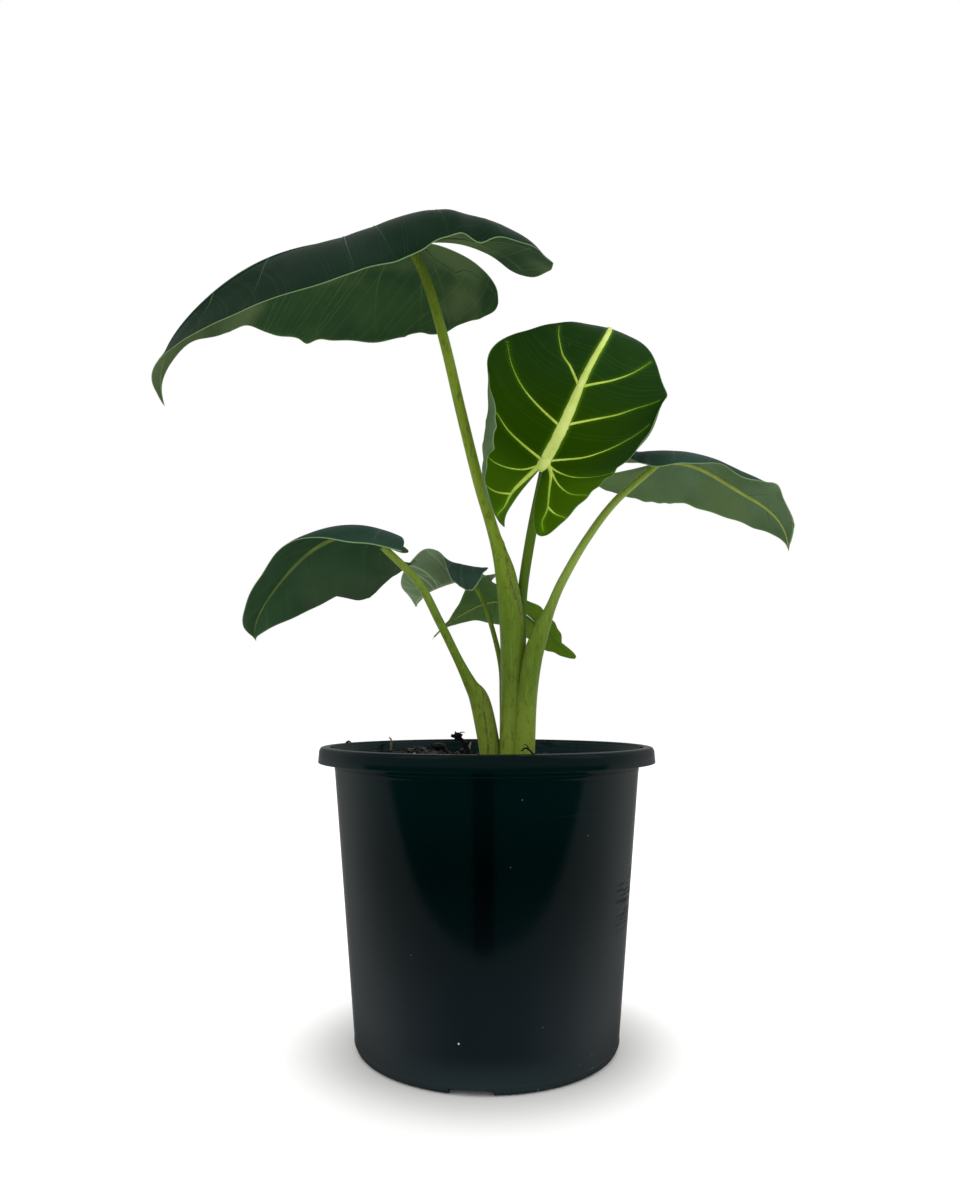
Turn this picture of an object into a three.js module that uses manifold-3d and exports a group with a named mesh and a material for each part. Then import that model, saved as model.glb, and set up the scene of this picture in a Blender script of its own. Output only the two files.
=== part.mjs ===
// Potted frydek alocasia: a nursery pot, its potting mix, the rootstock and a plant of six leaves.
// Millimetres, +Z up. The origin is on the pot's axis where it stands, and -Y is the front.
import * as THREE from 'three';
import { mergeVertices } from 'three/addons/utils/BufferGeometryUtils.js';
import Module from 'manifold-3d';

const wasm = await Module();
wasm.setup();

const group = new THREE.Group();
const CLEARANCE = 0.35;

// Driving dimensions of the pot: a standard 200 mm nursery pot
const POT_HEIGHT = 177;
const RIM_RADIUS = 105;
const RIM_DROP = 9.5;
const MOUTH_RADIUS = 98;
const WALL_TOP_RADIUS = 96;
const WALL_FOOT_RADIUS = 79.5;
const WALL = 1.4;
const LEDGE_DEPTH = 5;
const CORNER = 2.4;
const FLOOR_HEIGHT = 4;
const FILLET = 2.5;
const FOOT_WIDTH = 3;
const CENTRE_PAD_RADIUS = 12;
const POT_SEGMENTS = 48;
const NOTCH = { width: 24, height: 3.4, count: 4, firstAngle: -96 };
const DRAIN = { radius: 6, ring: 52, count: 4, firstAngle: -51 };

// Driving dimensions of the mix and the rootstock
const SOIL_LEVEL = 165;
const SOIL_MOUND = { x: -50, y: 68, height: 6, spread: 24 };
const SOIL_WAVE = 1;
const SOIL_SEGMENTS = 36;
const CROWN = { x: 14, y: 2 };
const CORM = { radius: 21, top: 160, bottom: 104 };
const ROOT_RADIUS = 1.9;
const ROOT_COUNT = 6;

// Half of a flat blade: share of the length forward (or of the lobe, backward), share of the half width
const OUTLINE = [
  [1, 0], [0.95, 0.05], [0.86, 0.19], [0.72, 0.44], [0.56, 0.7], [0.4, 0.9], [0.24, 1], [0.05, 0.97],
  [-0.3, 0.85], [-0.6, 0.66], [-0.85, 0.46], [-1, 0.27], [-0.93, 0.13], [-0.62, 0.08], [-0.3, 0.05], [0, 0],
];
const LAST_FRONT = 7 / 15;
const LOBE_TIP = 11 / 15;
const LOBE_RIB = { back: 0.8, side: 0.26 };
const BLADE_HALF_THICKNESS = 0.42;
const MIDRIB_EXTRA = 0.7;

// Leaves. joint is where stalk and blade meet. climb and heading are the midrib's elevation and compass angle
// in degrees at the joint, one third, two thirds and the tip, with the two lobes' own angles apart. root and
// edge are the fold of each half beside the midrib and at its edge, at the lobe's end, the joint, one third,
// two thirds and the tip: positive lifts it. left is on the left looking from the joint to the tip.
const leaves = {
  tall: {
    joint: [-39.6, -23.2, 502.4], length: 230, halfWidth: 98, lobes: { left: 66, right: 60 }, taper: 0,
    climb: { left: -1, right: 61, blade: [-3, -24, -47, -39] },
    heading: { left: 258, right: 166, blade: [196, 207, 186, 84] },
    left: { root: [-8, 3, -20, -44, -77], edge: [-102, -83, -54, -42, -16], bend: 1.7 },
    right: { root: [-18, 21, 9, 18, 109], edge: [-45, -58, -37, -31, -126], bend: 0.8 },
    detail: [30, 4],
  },
  upright: {
    joint: [37.2, -18.7, 355.7], length: 188, halfWidth: 70, lobes: { left: 74, right: 55 }, taper: 1.2,
    climb: { left: 37, right: 83, blade: [62, 65, 25, -108] },
    heading: { left: 109, right: 67, blade: [14, 10, 86, 130] },
    left: { root: [35, 69, 54, 9, 17], edge: [277, 235, 130, 42, -1], bend: 2 },
    right: { root: [21, -42, -105, -25, -16], edge: [-1, 3, 29, -13, -8], bend: 2.1 },
    detail: [30, 4],
  },
  right: {
    joint: [112.5, -4, 360.1], length: 108.5, halfWidth: 46.6, lobes: { left: 42.6, right: 41.6 }, taper: 0,
    climb: { left: 7, right: -11, blade: [3, -33, -38, -93] },
    heading: { left: 1, right: -3, blade: [-19, -6, -9, -25] },
    left: { root: [-13, -13, -5, -28, -74], edge: [-46, -47, -36, -13, -12], bend: 1.5 },
    right: { root: [48, 23, 18, 35, 35], edge: [-73, -67, -41, -51, -49], bend: 1.1 },
    detail: [30, 3],
  },
  left: {
    joint: [-63.1, -36.2, 299.3], length: 124, halfWidth: 50, lobes: { left: 23, right: 36 }, taper: 0,
    climb: { left: -2, right: -33, blade: [31, -30, -48, -34] },
    heading: { left: 147, right: 233, blade: [209, 173, 154, 89] },
    left: { root: [31, 21, 9, -13, -49], edge: [-68, -67, -33, -25, -25], bend: 1.2 },
    right: { root: [-9, -23, -31, -33, -40], edge: [-48, -41, -35, -31, -25], bend: 1.4 },
    detail: [30, 3],
  },
  small: {
    joint: [-11.1, 16.7, 287.1], length: 54, halfWidth: 36, lobes: { left: 17, right: 24 }, taper: 0.1,
    climb: { left: -14, right: -24, blade: [-7, -20, -20, -21] },
    heading: { left: 160, right: 225, blade: [153, 179, 129, 96] },
    left: { root: [42, 68, 48, 24, 41], edge: [-214, -100, 24, 35, 59], bend: 1 },
    right: { root: [-30, 10, 36, 45, 48], edge: [-30, 4, 36, 45, 46], bend: 1.2 },
    detail: [15, 3],
  },
  rear: {
    joint: [19.6, 36.7, 270.2], length: 69, halfWidth: 28, lobes: { left: 40, right: 56 }, taper: 0.8,
    climb: { left: 64, right: 35, blade: [32, -14, -34, -50] },
    heading: { left: 200, right: 174, blade: [150, 163, 180, 181] },
    left: { root: [39, 25, 20, 13, 18], edge: [10, 20, 33, 35, 33], bend: 1.4 },
    right: { root: [-47, -40, -25, -20, -34], edge: [-30, -45, -47, -35, -29], bend: 1.6 },
    detail: [15, 3],
  },
};

// Smooth curve through numbers at equal steps, read at a share from 0 to 1 (Catmull-Rom)
function through(values, share) {
  const last = values.length - 1;
  const place = Math.min(Math.max(share, 0), 1) * last;
  const k = Math.min(Math.floor(place), last - 1);
  const t = place - k;
  const b = values[k];
  const c = values[k + 1];
  const a = k > 0 ? values[k - 1] : 2 * b - c;
  const d = k + 2 <= last ? values[k + 2] : 2 * c - b;
  return 0.5 * (2 * b + (c - a) * t + (2 * a - 5 * b + 4 * c - d) * t ** 2 + (3 * b - a - 3 * c + d) * t ** 3);
}

// g runs from -1 at the lobe's end through 0 at the joint to 1 at the tip
const stationShare = (g) => (g < 0 ? (g + 1) / 4 : 0.25 + 0.75 * g);

const FOLD_STEPS = 14;
const AXIS_STEPS = 60;
const radians = THREE.MathUtils.degToRad;

// The midrib and the lobes' backbone as frames at equal steps of g: place, forward, sideways (left), up
function bladeAxis(leaf, side) {
  const lobe = side > 0 ? 'left' : 'right';
  const angles = (list, lobeValue, g) => {
    const first = g < 0 ? lobeValue : 2 * list[0] - list[1];
    return radians(through([first, ...list], stationShare(g)));
  };
  const frames = [];
  for (let k = -AXIS_STEPS; k <= AXIS_STEPS; k++) {
    const g = k / AXIS_STEPS;
    const climb = angles(leaf.climb.blade, leaf.climb[lobe], g);
    const heading = angles(leaf.heading.blade, leaf.heading[lobe], g);
    const forward = new THREE.Vector3(
      Math.cos(climb) * Math.cos(heading), Math.cos(climb) * Math.sin(heading), Math.sin(climb));
    const sideways = new THREE.Vector3(-Math.sin(heading), Math.cos(heading), 0);
    frames.push({ g, forward, sideways, up: forward.clone().cross(sideways), place: new THREE.Vector3() });
  }
  frames[AXIS_STEPS].place.set(...leaf.joint);
  const walk = (from, to, step) => {
    const mean = frames[from].forward.clone().add(frames[to].forward).multiplyScalar(step / 2);
    frames[to].place.copy(frames[from].place).add(mean);
  };
  for (let k = AXIS_STEPS; k < 2 * AXIS_STEPS; k++) walk(k, k + 1, leaf.length / AXIS_STEPS);
  for (let k = AXIS_STEPS; k > 0; k--) walk(k, k - 1, -leaf.lobes[lobe] / AXIS_STEPS);
  return frames;
}

// A point of the blade: from the backbone at g, go sideways while the fold turns from its root to its edge angle
function bladePoint(leaf, frames, side, g, across) {
  const half = side > 0 ? leaf.left : leaf.right;
  const place = (g + 1) * AXIS_STEPS;
  const k = Math.min(Math.floor(place), 2 * AXIS_STEPS - 1);
  const blend = (name) => frames[k][name].clone().lerp(frames[k + 1][name], place - k);
  const root = radians(through(half.root, stationShare(g)));
  const edge = radians(through(half.edge, stationShare(g)));
  let out = 0;
  let lift = 0;
  for (let step = 0; step < FOLD_STEPS; step++) {
    const share = (step + 0.5) / FOLD_STEPS * across;
    const fold = root + (edge - root) * share ** half.bend;
    out += Math.cos(fold) * across / FOLD_STEPS;
    lift += Math.sin(fold) * across / FOLD_STEPS;
  }
  return blend('place')
    .addScaledVector(blend('sideways'), side * out * leaf.halfWidth)
    .addScaledVector(blend('up'), lift * leaf.halfWidth);
}

// The edge of the flat blade at a share u of the way from the tip round the lobe to the joint
function outlinePoint(leaf, u) {
  const back = through(OUTLINE.map((point) => point[0]), u);
  const width = Math.max(through(OUTLINE.map((point) => point[1]), u), 0);
  return [back, width ** (1 + leaf.taper * Math.max(back, 0))];
}

// Where the row of vertices for u starts: on the midrib, or on the lobe's own rib, out and back again
function spinePoint(u) {
  if (u < LAST_FRONT) return [1 - u / LAST_FRONT, 0];
  const share = Math.min((u - LAST_FRONT) / (LOBE_TIP - LAST_FRONT), (1 - u) / (1 - LOBE_TIP));
  return [-LOBE_RIB.back * share, LOBE_RIB.side * share];
}

// Collects corners, joining those that coincide, and drops triangles that have no area
class Sheet {
  constructor() {
    this.points = [];
    this.faces = [];
    this.thickness = [];
    this.known = new Map();
  }

  corner(point, thickness = 0) {
    const key = point.toArray().map((value) => Math.round(value * 500)).join();
    if (!this.known.has(key)) {
      this.known.set(key, this.points.length);
      this.points.push(point);
      this.thickness.push(thickness);
    }
    return this.known.get(key);
  }

  triangle(a, b, c) {
    if (a !== b && b !== c && c !== a) this.faces.push([a, b, c]);
  }

  quad(a, b, c, d) {
    this.triangle(a, b, c);
    this.triangle(a, c, d);
  }
}

// Both halves of a blade as one sheet without thickness
function bladeSheet(leaf) {
  const sheet = new Sheet();
  const [alongCount, acrossCount] = leaf.detail;
  for (const side of [1, -1]) {
    const frames = bladeAxis(leaf, side);
    const rows = [];
    for (let i = 0; i <= alongCount; i++) {
      const [spineG, spineAcross] = spinePoint(i / alongCount);
      const [edgeG, edgeAcross] = outlinePoint(leaf, i / alongCount);
      const row = [];
      for (let j = 0; j <= acrossCount; j++) {
        const t = j / acrossCount;
        const g = THREE.MathUtils.clamp(spineG + (edgeG - spineG) * t, -1, 1);
        const across = spineAcross + (edgeAcross - spineAcross) * t;
        const rib = Math.max(1 - across * 6, 0) * Math.max(1 - Math.abs(g), 0);
        row.push(sheet.corner(bladePoint(leaf, frames, side, g, across), rib));
      }
      rows.push(row);
    }
    for (let i = 0; i < alongCount; i++) {
      for (let j = 0; j < acrossCount; j++) {
        const ring = [rows[i][j], rows[i][j + 1], rows[i + 1][j + 1], rows[i + 1][j]];
        if (side < 0) ring.reverse();
        sheet.quad(...ring);
      }
    }
  }
  return sheet;
}

function geometryFrom(points, faces) {
  const geometry = new THREE.BufferGeometry();
  const values = points.flatMap((point) => point.toArray());
  geometry.setAttribute('position', new THREE.Float32BufferAttribute(values, 3));
  geometry.setIndex(faces.flat());
  return geometry;
}

// A sheet given thickness: an upper and a lower skin along the corners' normals, joined round its open edges
function thicken(sheet, half, ribExtra) {
  const normals = sheet.points.map(() => new THREE.Vector3());
  const edges = new Set();
  for (const face of sheet.faces) {
    const [a, b, c] = face.map((k) => sheet.points[k]);
    const normal = b.clone().sub(a).cross(c.clone().sub(a));
    face.forEach((k) => normals[k].add(normal));
    face.forEach((k, n) => edges.add(`${k},${face[(n + 1) % 3]}`));
  }
  const count = sheet.points.length;
  const skin = (sign) => sheet.points.map((point, k) => {
    const reach = sign > 0 ? half : -(half + ribExtra * sheet.thickness[k]);
    return point.clone().addScaledVector(normals[k].normalize(), reach);
  });
  const faces = [...sheet.faces];
  for (const [a, b, c] of sheet.faces) faces.push([c + count, b + count, a + count]);
  for (const edge of edges) {
    const [from, to] = edge.split(',').map(Number);
    if (edges.has(`${to},${from}`)) continue;
    faces.push([to, from, from + count], [to, from + count, to + count]);
  }
  return geometryFrom([...skin(1), ...skin(-1)], faces);
}

// Boolean work: a closed mesh to a solid and back
function solidOf(geometry) {
  const bare = geometry.clone();
  bare.deleteAttribute('normal');
  bare.deleteAttribute('uv');
  const merged = mergeVertices(bare, 1e-4);
  const corners = [...merged.index.array];
  const faces = [];
  for (let k = 0; k < corners.length; k += 3) {
    const [a, b, c] = corners.slice(k, k + 3);
    if (a !== b && b !== c && c !== a) faces.push(a, b, c);
  }
  return new wasm.Manifold(new wasm.Mesh({
    numProp: 3,
    vertProperties: new Float32Array(merged.attributes.position.array),
    triVerts: new Uint32Array(faces),
  }));
}

function geometryOf(solid) {
  const mesh = solid.getMesh();
  const geometry = new THREE.BufferGeometry();
  geometry.setAttribute('position', new THREE.BufferAttribute(new Float32Array(mesh.vertProperties), 3));
  geometry.setIndex(new THREE.BufferAttribute(new Uint32Array(mesh.triVerts), 1));
  return geometry;
}

// What is left in one piece after cutting: the largest of the solid's bodies
function largest(solid) {
  const pieces = solid.decompose();
  return pieces.reduce((best, piece) => (piece.volume() > best.volume() ? piece : best));
}

function addPiece(name, geometry, color, roughness) {
  const mesh = new THREE.Mesh(geometry, new THREE.MeshStandardMaterial({ color, roughness, metalness: 0 }));
  mesh.name = name;
  group.add(mesh);
  return mesh;
}

// Stalks, each as places with a radius from inside the rootstock up to where it meets its blade's midrib, a
// share (attach) of the way from the joint to the tip. The wide lower part is the sheath.
const stalks = {
  upright: {
    attach: 0, tip: 2.9,
    places: [
      [20, 6, 152, 4.8], [20.8, 6, 173, 4.5], [21.6, 6, 206, 4.2], [22.2, 6, 244, 3.7], [23.8, 5, 277, 3.3],
      [29.9, 0, 316, 3.3],
    ],
  },
  tall: {
    attach: 0.045, tip: 3.1,
    places: [
      [14.8, -1, 152, 7.2], [15.6, -1, 173, 7.4], [16.8, -1, 206, 7.6], [16.8, -1, 237, 7.8], [15.9, -1, 262, 7.9],
      [12.6, -2, 285, 6.7], [7.8, -3, 303, 4.6], [2.6, -4, 321, 3.8], [-5.4, -6, 348, 3.6], [-16.5, -9, 393, 3.5],
      [-27.8, -13, 441, 3.4], [-39.2, -19, 479, 3.2],
    ],
  },
  right: {
    attach: 0, tip: 2.4,
    places: [
      [23, -7, 152, 6.4], [23.8, -7, 173, 6.5], [25.6, -7, 206, 6.3], [28.9, -7, 230, 6.2], [34.1, -7, 247, 5.3],
      [41.3, -7, 265, 3.3], [49, -8, 282, 2.9], [64.3, -8, 308, 2.6], [83.8, -7, 333.6, 2.5],
    ],
  },
  left: {
    attach: 0, tip: 2.3,
    places: [
      [3, 3, 152, 6.5], [2.2, 3, 173, 6.8], [-0.3, 2, 188, 6.8], [-4.8, 0, 206, 6.1], [-10.3, -3, 216, 4.2],
      [-17.9, -8, 231, 2.9], [-29.7, -17, 255, 2.7], [-42.3, -26, 278, 2.5],
    ],
  },
  small: {
    attach: 0, tip: 1.3,
    places: [[11, 11, 152, 3], [11.3, 12, 172, 2.9], [10.8, 13, 206, 2.3], [8.9, 14, 232, 1.8], [-0.9, 16, 268, 1.5]],
  },
  rear: {
    attach: 0, tip: 1.7,
    places: [[20, 16, 152, 3], [20.6, 17, 172, 2.9], [21.5, 20, 206, 2.4], [21.9, 26, 239, 2]],
  },
};
const STALK_SIDES = 12;
const STEPS_PER_PLACE = 2;
const STALK_END_DROP = 3.4;

// A closed tube along a curve whose section may change on the way. facing is the way its angle 0 points, and
// tip is how far its end comes to a point.
function loft(curve, steps, sides, facing, sectionRadius, tip = 0) {
  const points = [];
  const faces = [];
  for (let i = 0; i <= steps; i++) {
    const share = i / steps;
    const centre = curve.getPoint(share);
    const along = curve.getTangent(share);
    const across = along.clone().cross(facing).normalize();
    const front = across.clone().cross(along);
    for (let j = 0; j < sides; j++) {
      const angle = THREE.MathUtils.euclideanModulo(j / sides * 2 * Math.PI + Math.PI, 2 * Math.PI) - Math.PI;
      const radius = sectionRadius(share, angle);
      points.push(centre.clone()
        .addScaledVector(front, radius * Math.cos(angle)).addScaledVector(across, radius * Math.sin(angle)));
    }
  }
  const first = points.push(curve.getPoint(0)) - 1;
  const last = points.push(curve.getPoint(1).addScaledVector(curve.getTangent(1), tip)) - 1;
  for (let j = 0; j < sides; j++) {
    const next = (j + 1) % sides;
    for (let i = 0; i < steps; i++) {
      const [a, b] = [i * sides + j, i * sides + next];
      faces.push([a, b, a + sides], [b, b + sides, a + sides]);
    }
    faces.push([first, next, j], [last, steps * sides + j, steps * sides + next]);
  }
  return geometryFrom(points, faces);
}

const facingOf = (degrees) => new THREE.Vector3(Math.cos(radians(degrees)), Math.sin(radians(degrees)), 0);

function stalkSolid(name, grow = 0) {
  const { places, attach, tip } = stalks[name];
  const { place, up } = bladeAxis(leaves[name], 1)[Math.round(AXIS_STEPS * (1 + attach))];
  const corners = places.map(([x, y, z]) => new THREE.Vector3(x, y, z));
  corners.push(place.clone().addScaledVector(up, -STALK_END_DROP));
  const radii = [...places.map((values) => values[3]), tip];
  const curve = new THREE.CatmullRomCurve3(corners, false, 'centripetal');
  const steps = STEPS_PER_PLACE * places.length;
  const sideways = new THREE.Vector3(0, 1, 0);
  return solidOf(loft(curve, steps, STALK_SIDES, sideways, (share) => through(radii, share) + grow));
}

// Pot: one wall turned round its axis, with a rim that folds out and down
const FLOOR_TOP = FLOOR_HEIGHT + WALL;
const LEDGE_HEIGHT = POT_HEIGHT - LEDGE_DEPTH - 1;

// Radius of the wall's inside face at a height between the fillet over the floor and the ledge under the rim
function insideRadius(z) {
  const share = (z - FLOOR_TOP - FILLET) / (LEDGE_HEIGHT - FLOOR_TOP - FILLET);
  return WALL_FOOT_RADIUS - WALL + (WALL_TOP_RADIUS - WALL_FOOT_RADIUS) * share;
}

function potProfile() {
  const rimTop = POT_HEIGHT;
  const rimFoot = POT_HEIGHT - RIM_DROP;
  const skirt = RIM_RADIUS - WALL;
  const outside = [
    [WALL_FOOT_RADIUS - CORNER, 0], [WALL_FOOT_RADIUS - CORNER * 0.3, CORNER * 0.3], [WALL_FOOT_RADIUS, CORNER],
    [WALL_TOP_RADIUS, rimFoot + 1], [WALL_TOP_RADIUS + 0.4, rimTop - WALL], [skirt - 1.2, rimTop - WALL],
    [skirt, rimFoot], [RIM_RADIUS, rimFoot], [RIM_RADIUS - 0.9, rimTop - 1.6], [RIM_RADIUS - 2.4, rimTop],
  ];
  const inside = [
    [MOUTH_RADIUS, rimTop], [MOUTH_RADIUS - 0.6, LEDGE_HEIGHT + 1], [insideRadius(LEDGE_HEIGHT), LEDGE_HEIGHT],
    [insideRadius(FLOOR_TOP + FILLET), FLOOR_TOP + FILLET], [insideRadius(FLOOR_TOP) - FILLET, FLOOR_TOP],
    [0, FLOOR_TOP],
  ];
  const under = [
    [0, 0], [CENTRE_PAD_RADIUS, 0], [CENTRE_PAD_RADIUS, FLOOR_HEIGHT],
    [WALL_FOOT_RADIUS - CORNER - FOOT_WIDTH, FLOOR_HEIGHT], [WALL_FOOT_RADIUS - CORNER - FOOT_WIDTH, 0],
  ];
  return { outside, inside, under };
}

const lathe = (pairs, segments) => new THREE.LatheGeometry(pairs.map((pair) => new THREE.Vector2(...pair)), segments)
  .rotateX(Math.PI / 2);

function potSolid() {
  const { outside, inside, under } = potProfile();
  let pot = solidOf(lathe([...under, ...outside, ...inside], POT_SEGMENTS));
  for (let k = 0; k < NOTCH.count; k++) {
    const turn = radians(NOTCH.firstAngle + 360 / NOTCH.count * k);
    const tooth = new THREE.BoxGeometry(FOOT_WIDTH + CORNER + 4, NOTCH.width, NOTCH.height * 2)
      .translate(WALL_FOOT_RADIUS - CORNER / 2, 0, 0).rotateZ(turn);
    pot = pot.subtract(solidOf(tooth));
  }
  for (let k = 0; k < DRAIN.count; k++) {
    const turn = radians(DRAIN.firstAngle + 360 / DRAIN.count * k);
    const hole = new THREE.CylinderGeometry(DRAIN.radius, DRAIN.radius, 6 * WALL, 12).rotateX(Math.PI / 2)
      .translate(DRAIN.ring, 0, FLOOR_HEIGHT).rotateZ(turn);
    pot = pot.subtract(solidOf(hole));
  }
  return pot;
}

// Height of the mix's surface: level, a mound against the back of the wall and a gentle unevenness
function soilHeight(x, y) {
  const away = Math.hypot(x - SOIL_MOUND.x, y - SOIL_MOUND.y) / SOIL_MOUND.spread;
  return SOIL_LEVEL + SOIL_MOUND.height * Math.exp(-(away ** 2)) + SOIL_WAVE * Math.sin(x / 17) * Math.cos(y / 21);
}

function soilSolid() {
  const floor = FLOOR_TOP + CLEARANCE;
  const clear = (z) => insideRadius(z) * Math.cos(Math.PI / POT_SEGMENTS) - CLEARANCE;
  const edge = clear(SOIL_LEVEL) - CLEARANCE;
  const foot = FLOOR_TOP + FILLET;
  const top = [1, 0.85, 0.66, 0.42, 0.2, 0].map((share) => [edge * share, SOIL_LEVEL]);
  const profile = [[0, floor], [clear(foot) - FILLET, floor], [clear(foot), foot + CLEARANCE], ...top];
  const geometry = lathe(profile, SOIL_SEGMENTS);
  const places = geometry.attributes.position;
  for (let k = 0; k < places.count; k++) {
    if (places.getZ(k) > SOIL_LEVEL - 0.1) places.setZ(k, soilHeight(places.getX(k), places.getY(k)));
  }
  return solidOf(geometry);
}

// Rootstock: an upright corm with roots that run out and down through the mix
function rootstockSolid(grow = 0) {
  const { radius, top, bottom } = CORM;
  const profile = [
    [0, bottom - grow], [radius * 0.4 + grow, bottom + 3 - grow], [radius * 0.85 + grow, bottom + 16],
    [radius + grow, bottom + 36], [radius * 0.9 + grow, top - 4], [radius * 0.7 + grow, top + grow], [0, top + grow],
  ];
  let plant = solidOf(lathe(profile, 16).translate(CROWN.x, CROWN.y, 0));
  for (let k = 0; k < ROOT_COUNT; k++) {
    const away = facingOf(360 / ROOT_COUNT * k + 20);
    const place = (out, z) => new THREE.Vector3(CROWN.x, CROWN.y, z).addScaledVector(away, out);
    const drop = 6 * (k % 3);
    const path = [place(5, 138 - drop), place(26, 124 - drop), place(42, 84), place(46 + drop, 34 + drop)];
    const sideways = away.clone().cross(new THREE.Vector3(0, 0, 1));
    const thin = (share) => ROOT_RADIUS * (1 - 0.5 * share) + grow;
    const root = loft(new THREE.CatmullRomCurve3(path), 5, 5, sideways, thin, ROOT_RADIUS + grow);
    plant = plant.add(solidOf(root));
  }
  return plant;
}

// Bits on the mix: bark chips are rough lumps, each resting on the highest point under it
const chips = [
  { at: [-34, 66], size: [13, 8, 5], turn: 20, tilt: 12 },
  { at: [-17, 74], size: [9, 6, 4], turn: 75, tilt: -10 },
  { at: [-62, 40], size: [12, 9, 4], turn: 130, tilt: 8 },
  { at: [12, 70], size: [12, 7, 5], turn: -30, tilt: 15 },
  { at: [41, 62], size: [9, 7, 4], turn: 60, tilt: -14 },
  { at: [66, 44], size: [13, 8, 4], turn: 10, tilt: 6 },
  { at: [4, 42], size: [10, 7, 4], turn: 100, tilt: 10 },
  { at: [30, -66], size: [12, 8, 4], turn: 45, tilt: -6 },
];
const STANDING_CHIP = { at: [-17, 26], size: [11, 7, 20], turn: 10, tilt: 8 };
const REST_GAP = 0.5;

function chipGeometry({ at, size, turn, tilt }) {
  const [x, y] = at;
  const lump = new THREE.IcosahedronGeometry(0.5, 0).scale(...size)
    .rotateX(radians(tilt)).rotateZ(radians(turn)).translate(x, y, 0);
  lump.computeBoundingBox();
  const { min, max } = lump.boundingBox;
  const under = [[x, y], [min.x, min.y], [min.x, max.y], [max.x, min.y], [max.x, max.y]];
  const rest = Math.max(...under.map(([u, v]) => soilHeight(u, v)));
  return lump.translate(0, 0, rest + REST_GAP - min.z);
}

// Loose roots and a twig: thin tubes through a few places, standing just clear of the mix
const rootBits = {
  root_bit_rim: { path: [[-67, 59, 171], [-67.4, 62, 175], [-67.8, 65, 178], [-69.5, 68.5, 179.3]], radius: 1 },
  root_bit_back: { path: [[-12, 80, 167], [-12.5, 82, 171], [-11.5, 83, 175]], radius: 1.2 },
  twig_front: { path: [[29, -24, 167], [28, -23.5, 173], [24, -23, 176.5], [21, -23, 174.5]], radius: 0.7 },
};

function bitGeometry({ path, radius }) {
  const curve = new THREE.CatmullRomCurve3(path.map((point) => new THREE.Vector3(...point)));
  return loft(curve, 6, 6, new THREE.Vector3(0, 1, 0.1), (share) => radius * (1 - 0.3 * share));
}

// Assembly. Each stalk is cut back from the rootstock, from the blade it carries and from stalks placed before it
const POT_COLOR = 0x0b1a18;
const MIX_COLOR = 0x3a2c20;
const ROOT_COLOR = 0x9a7a4a;
const STALK_COLOR = 0x7f9b3c;
const BLADE_COLOR = 0x1f4a2a;
const BARK_COLOR = 0x2a2019;
const BIT_COLOR = 0x8b7048;

addPiece('pot', geometryOf(potSolid()), POT_COLOR, 0.3);
addPiece('rootstock', geometryOf(rootstockSolid()), ROOT_COLOR, 0.8);

const rootstockRoom = rootstockSolid(CLEARANCE);
const cutOrder = ['upright', 'tall', 'right', 'left', 'small', 'rear'];
let taken = rootstockRoom;
for (const name of cutOrder) {
  const bladeRoom = solidOf(thicken(bladeSheet(leaves[name]), BLADE_HALF_THICKNESS + 2 * CLEARANCE, MIDRIB_EXTRA));
  const stalk = largest(stalkSolid(name).subtract(taken).subtract(bladeRoom));
  addPiece(`stalk_${name}`, geometryOf(stalk), STALK_COLOR, 0.5);
  taken = taken.add(stalkSolid(name, CLEARANCE));
}
for (const [name, leaf] of Object.entries(leaves)) {
  const blade = thicken(bladeSheet(leaf), BLADE_HALF_THICKNESS, MIDRIB_EXTRA);
  addPiece(`blade_${name}`, blade, BLADE_COLOR, 0.6);
}
addPiece('potting_mix', geometryOf(largest(soilSolid().subtract(taken))), MIX_COLOR, 0.95);

chips.forEach((chip, k) => addPiece(`bark_chip_${k + 1}`, chipGeometry(chip), BARK_COLOR, 0.9));
addPiece('bark_chip_standing', chipGeometry(STANDING_CHIP), BARK_COLOR, 0.9);
for (const [name, bit] of Object.entries(rootBits)) addPiece(name, bitGeometry(bit), BIT_COLOR, 0.9);

export default group;
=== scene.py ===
"""Potted frydek alocasia: six leaves on sheathed stalks in a bark mix, in a round nursery pot.

Lengths in the tables are millimetres, as in the part's source, and MM turns them into metres.
The front is -Y. Colours are the red, green and blue of a screen, from 0 to 255.
"""

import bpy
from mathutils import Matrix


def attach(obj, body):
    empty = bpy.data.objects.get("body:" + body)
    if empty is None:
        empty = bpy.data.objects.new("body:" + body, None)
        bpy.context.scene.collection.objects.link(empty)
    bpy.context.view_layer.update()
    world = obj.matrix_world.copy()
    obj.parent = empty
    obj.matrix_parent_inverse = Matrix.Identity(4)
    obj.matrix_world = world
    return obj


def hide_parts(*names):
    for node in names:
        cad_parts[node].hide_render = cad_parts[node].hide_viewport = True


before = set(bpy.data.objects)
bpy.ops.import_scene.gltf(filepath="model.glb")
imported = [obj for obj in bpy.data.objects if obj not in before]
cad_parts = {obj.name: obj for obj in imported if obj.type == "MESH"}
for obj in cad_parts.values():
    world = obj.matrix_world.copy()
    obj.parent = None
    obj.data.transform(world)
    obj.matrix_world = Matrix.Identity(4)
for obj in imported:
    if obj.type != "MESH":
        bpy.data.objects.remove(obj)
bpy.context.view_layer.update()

import math

import bmesh
import bpy
import numpy as np

MM = 0.001
ROOT = "root"
FULL_TURN = 2 * math.pi

# Smooth curves


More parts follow.
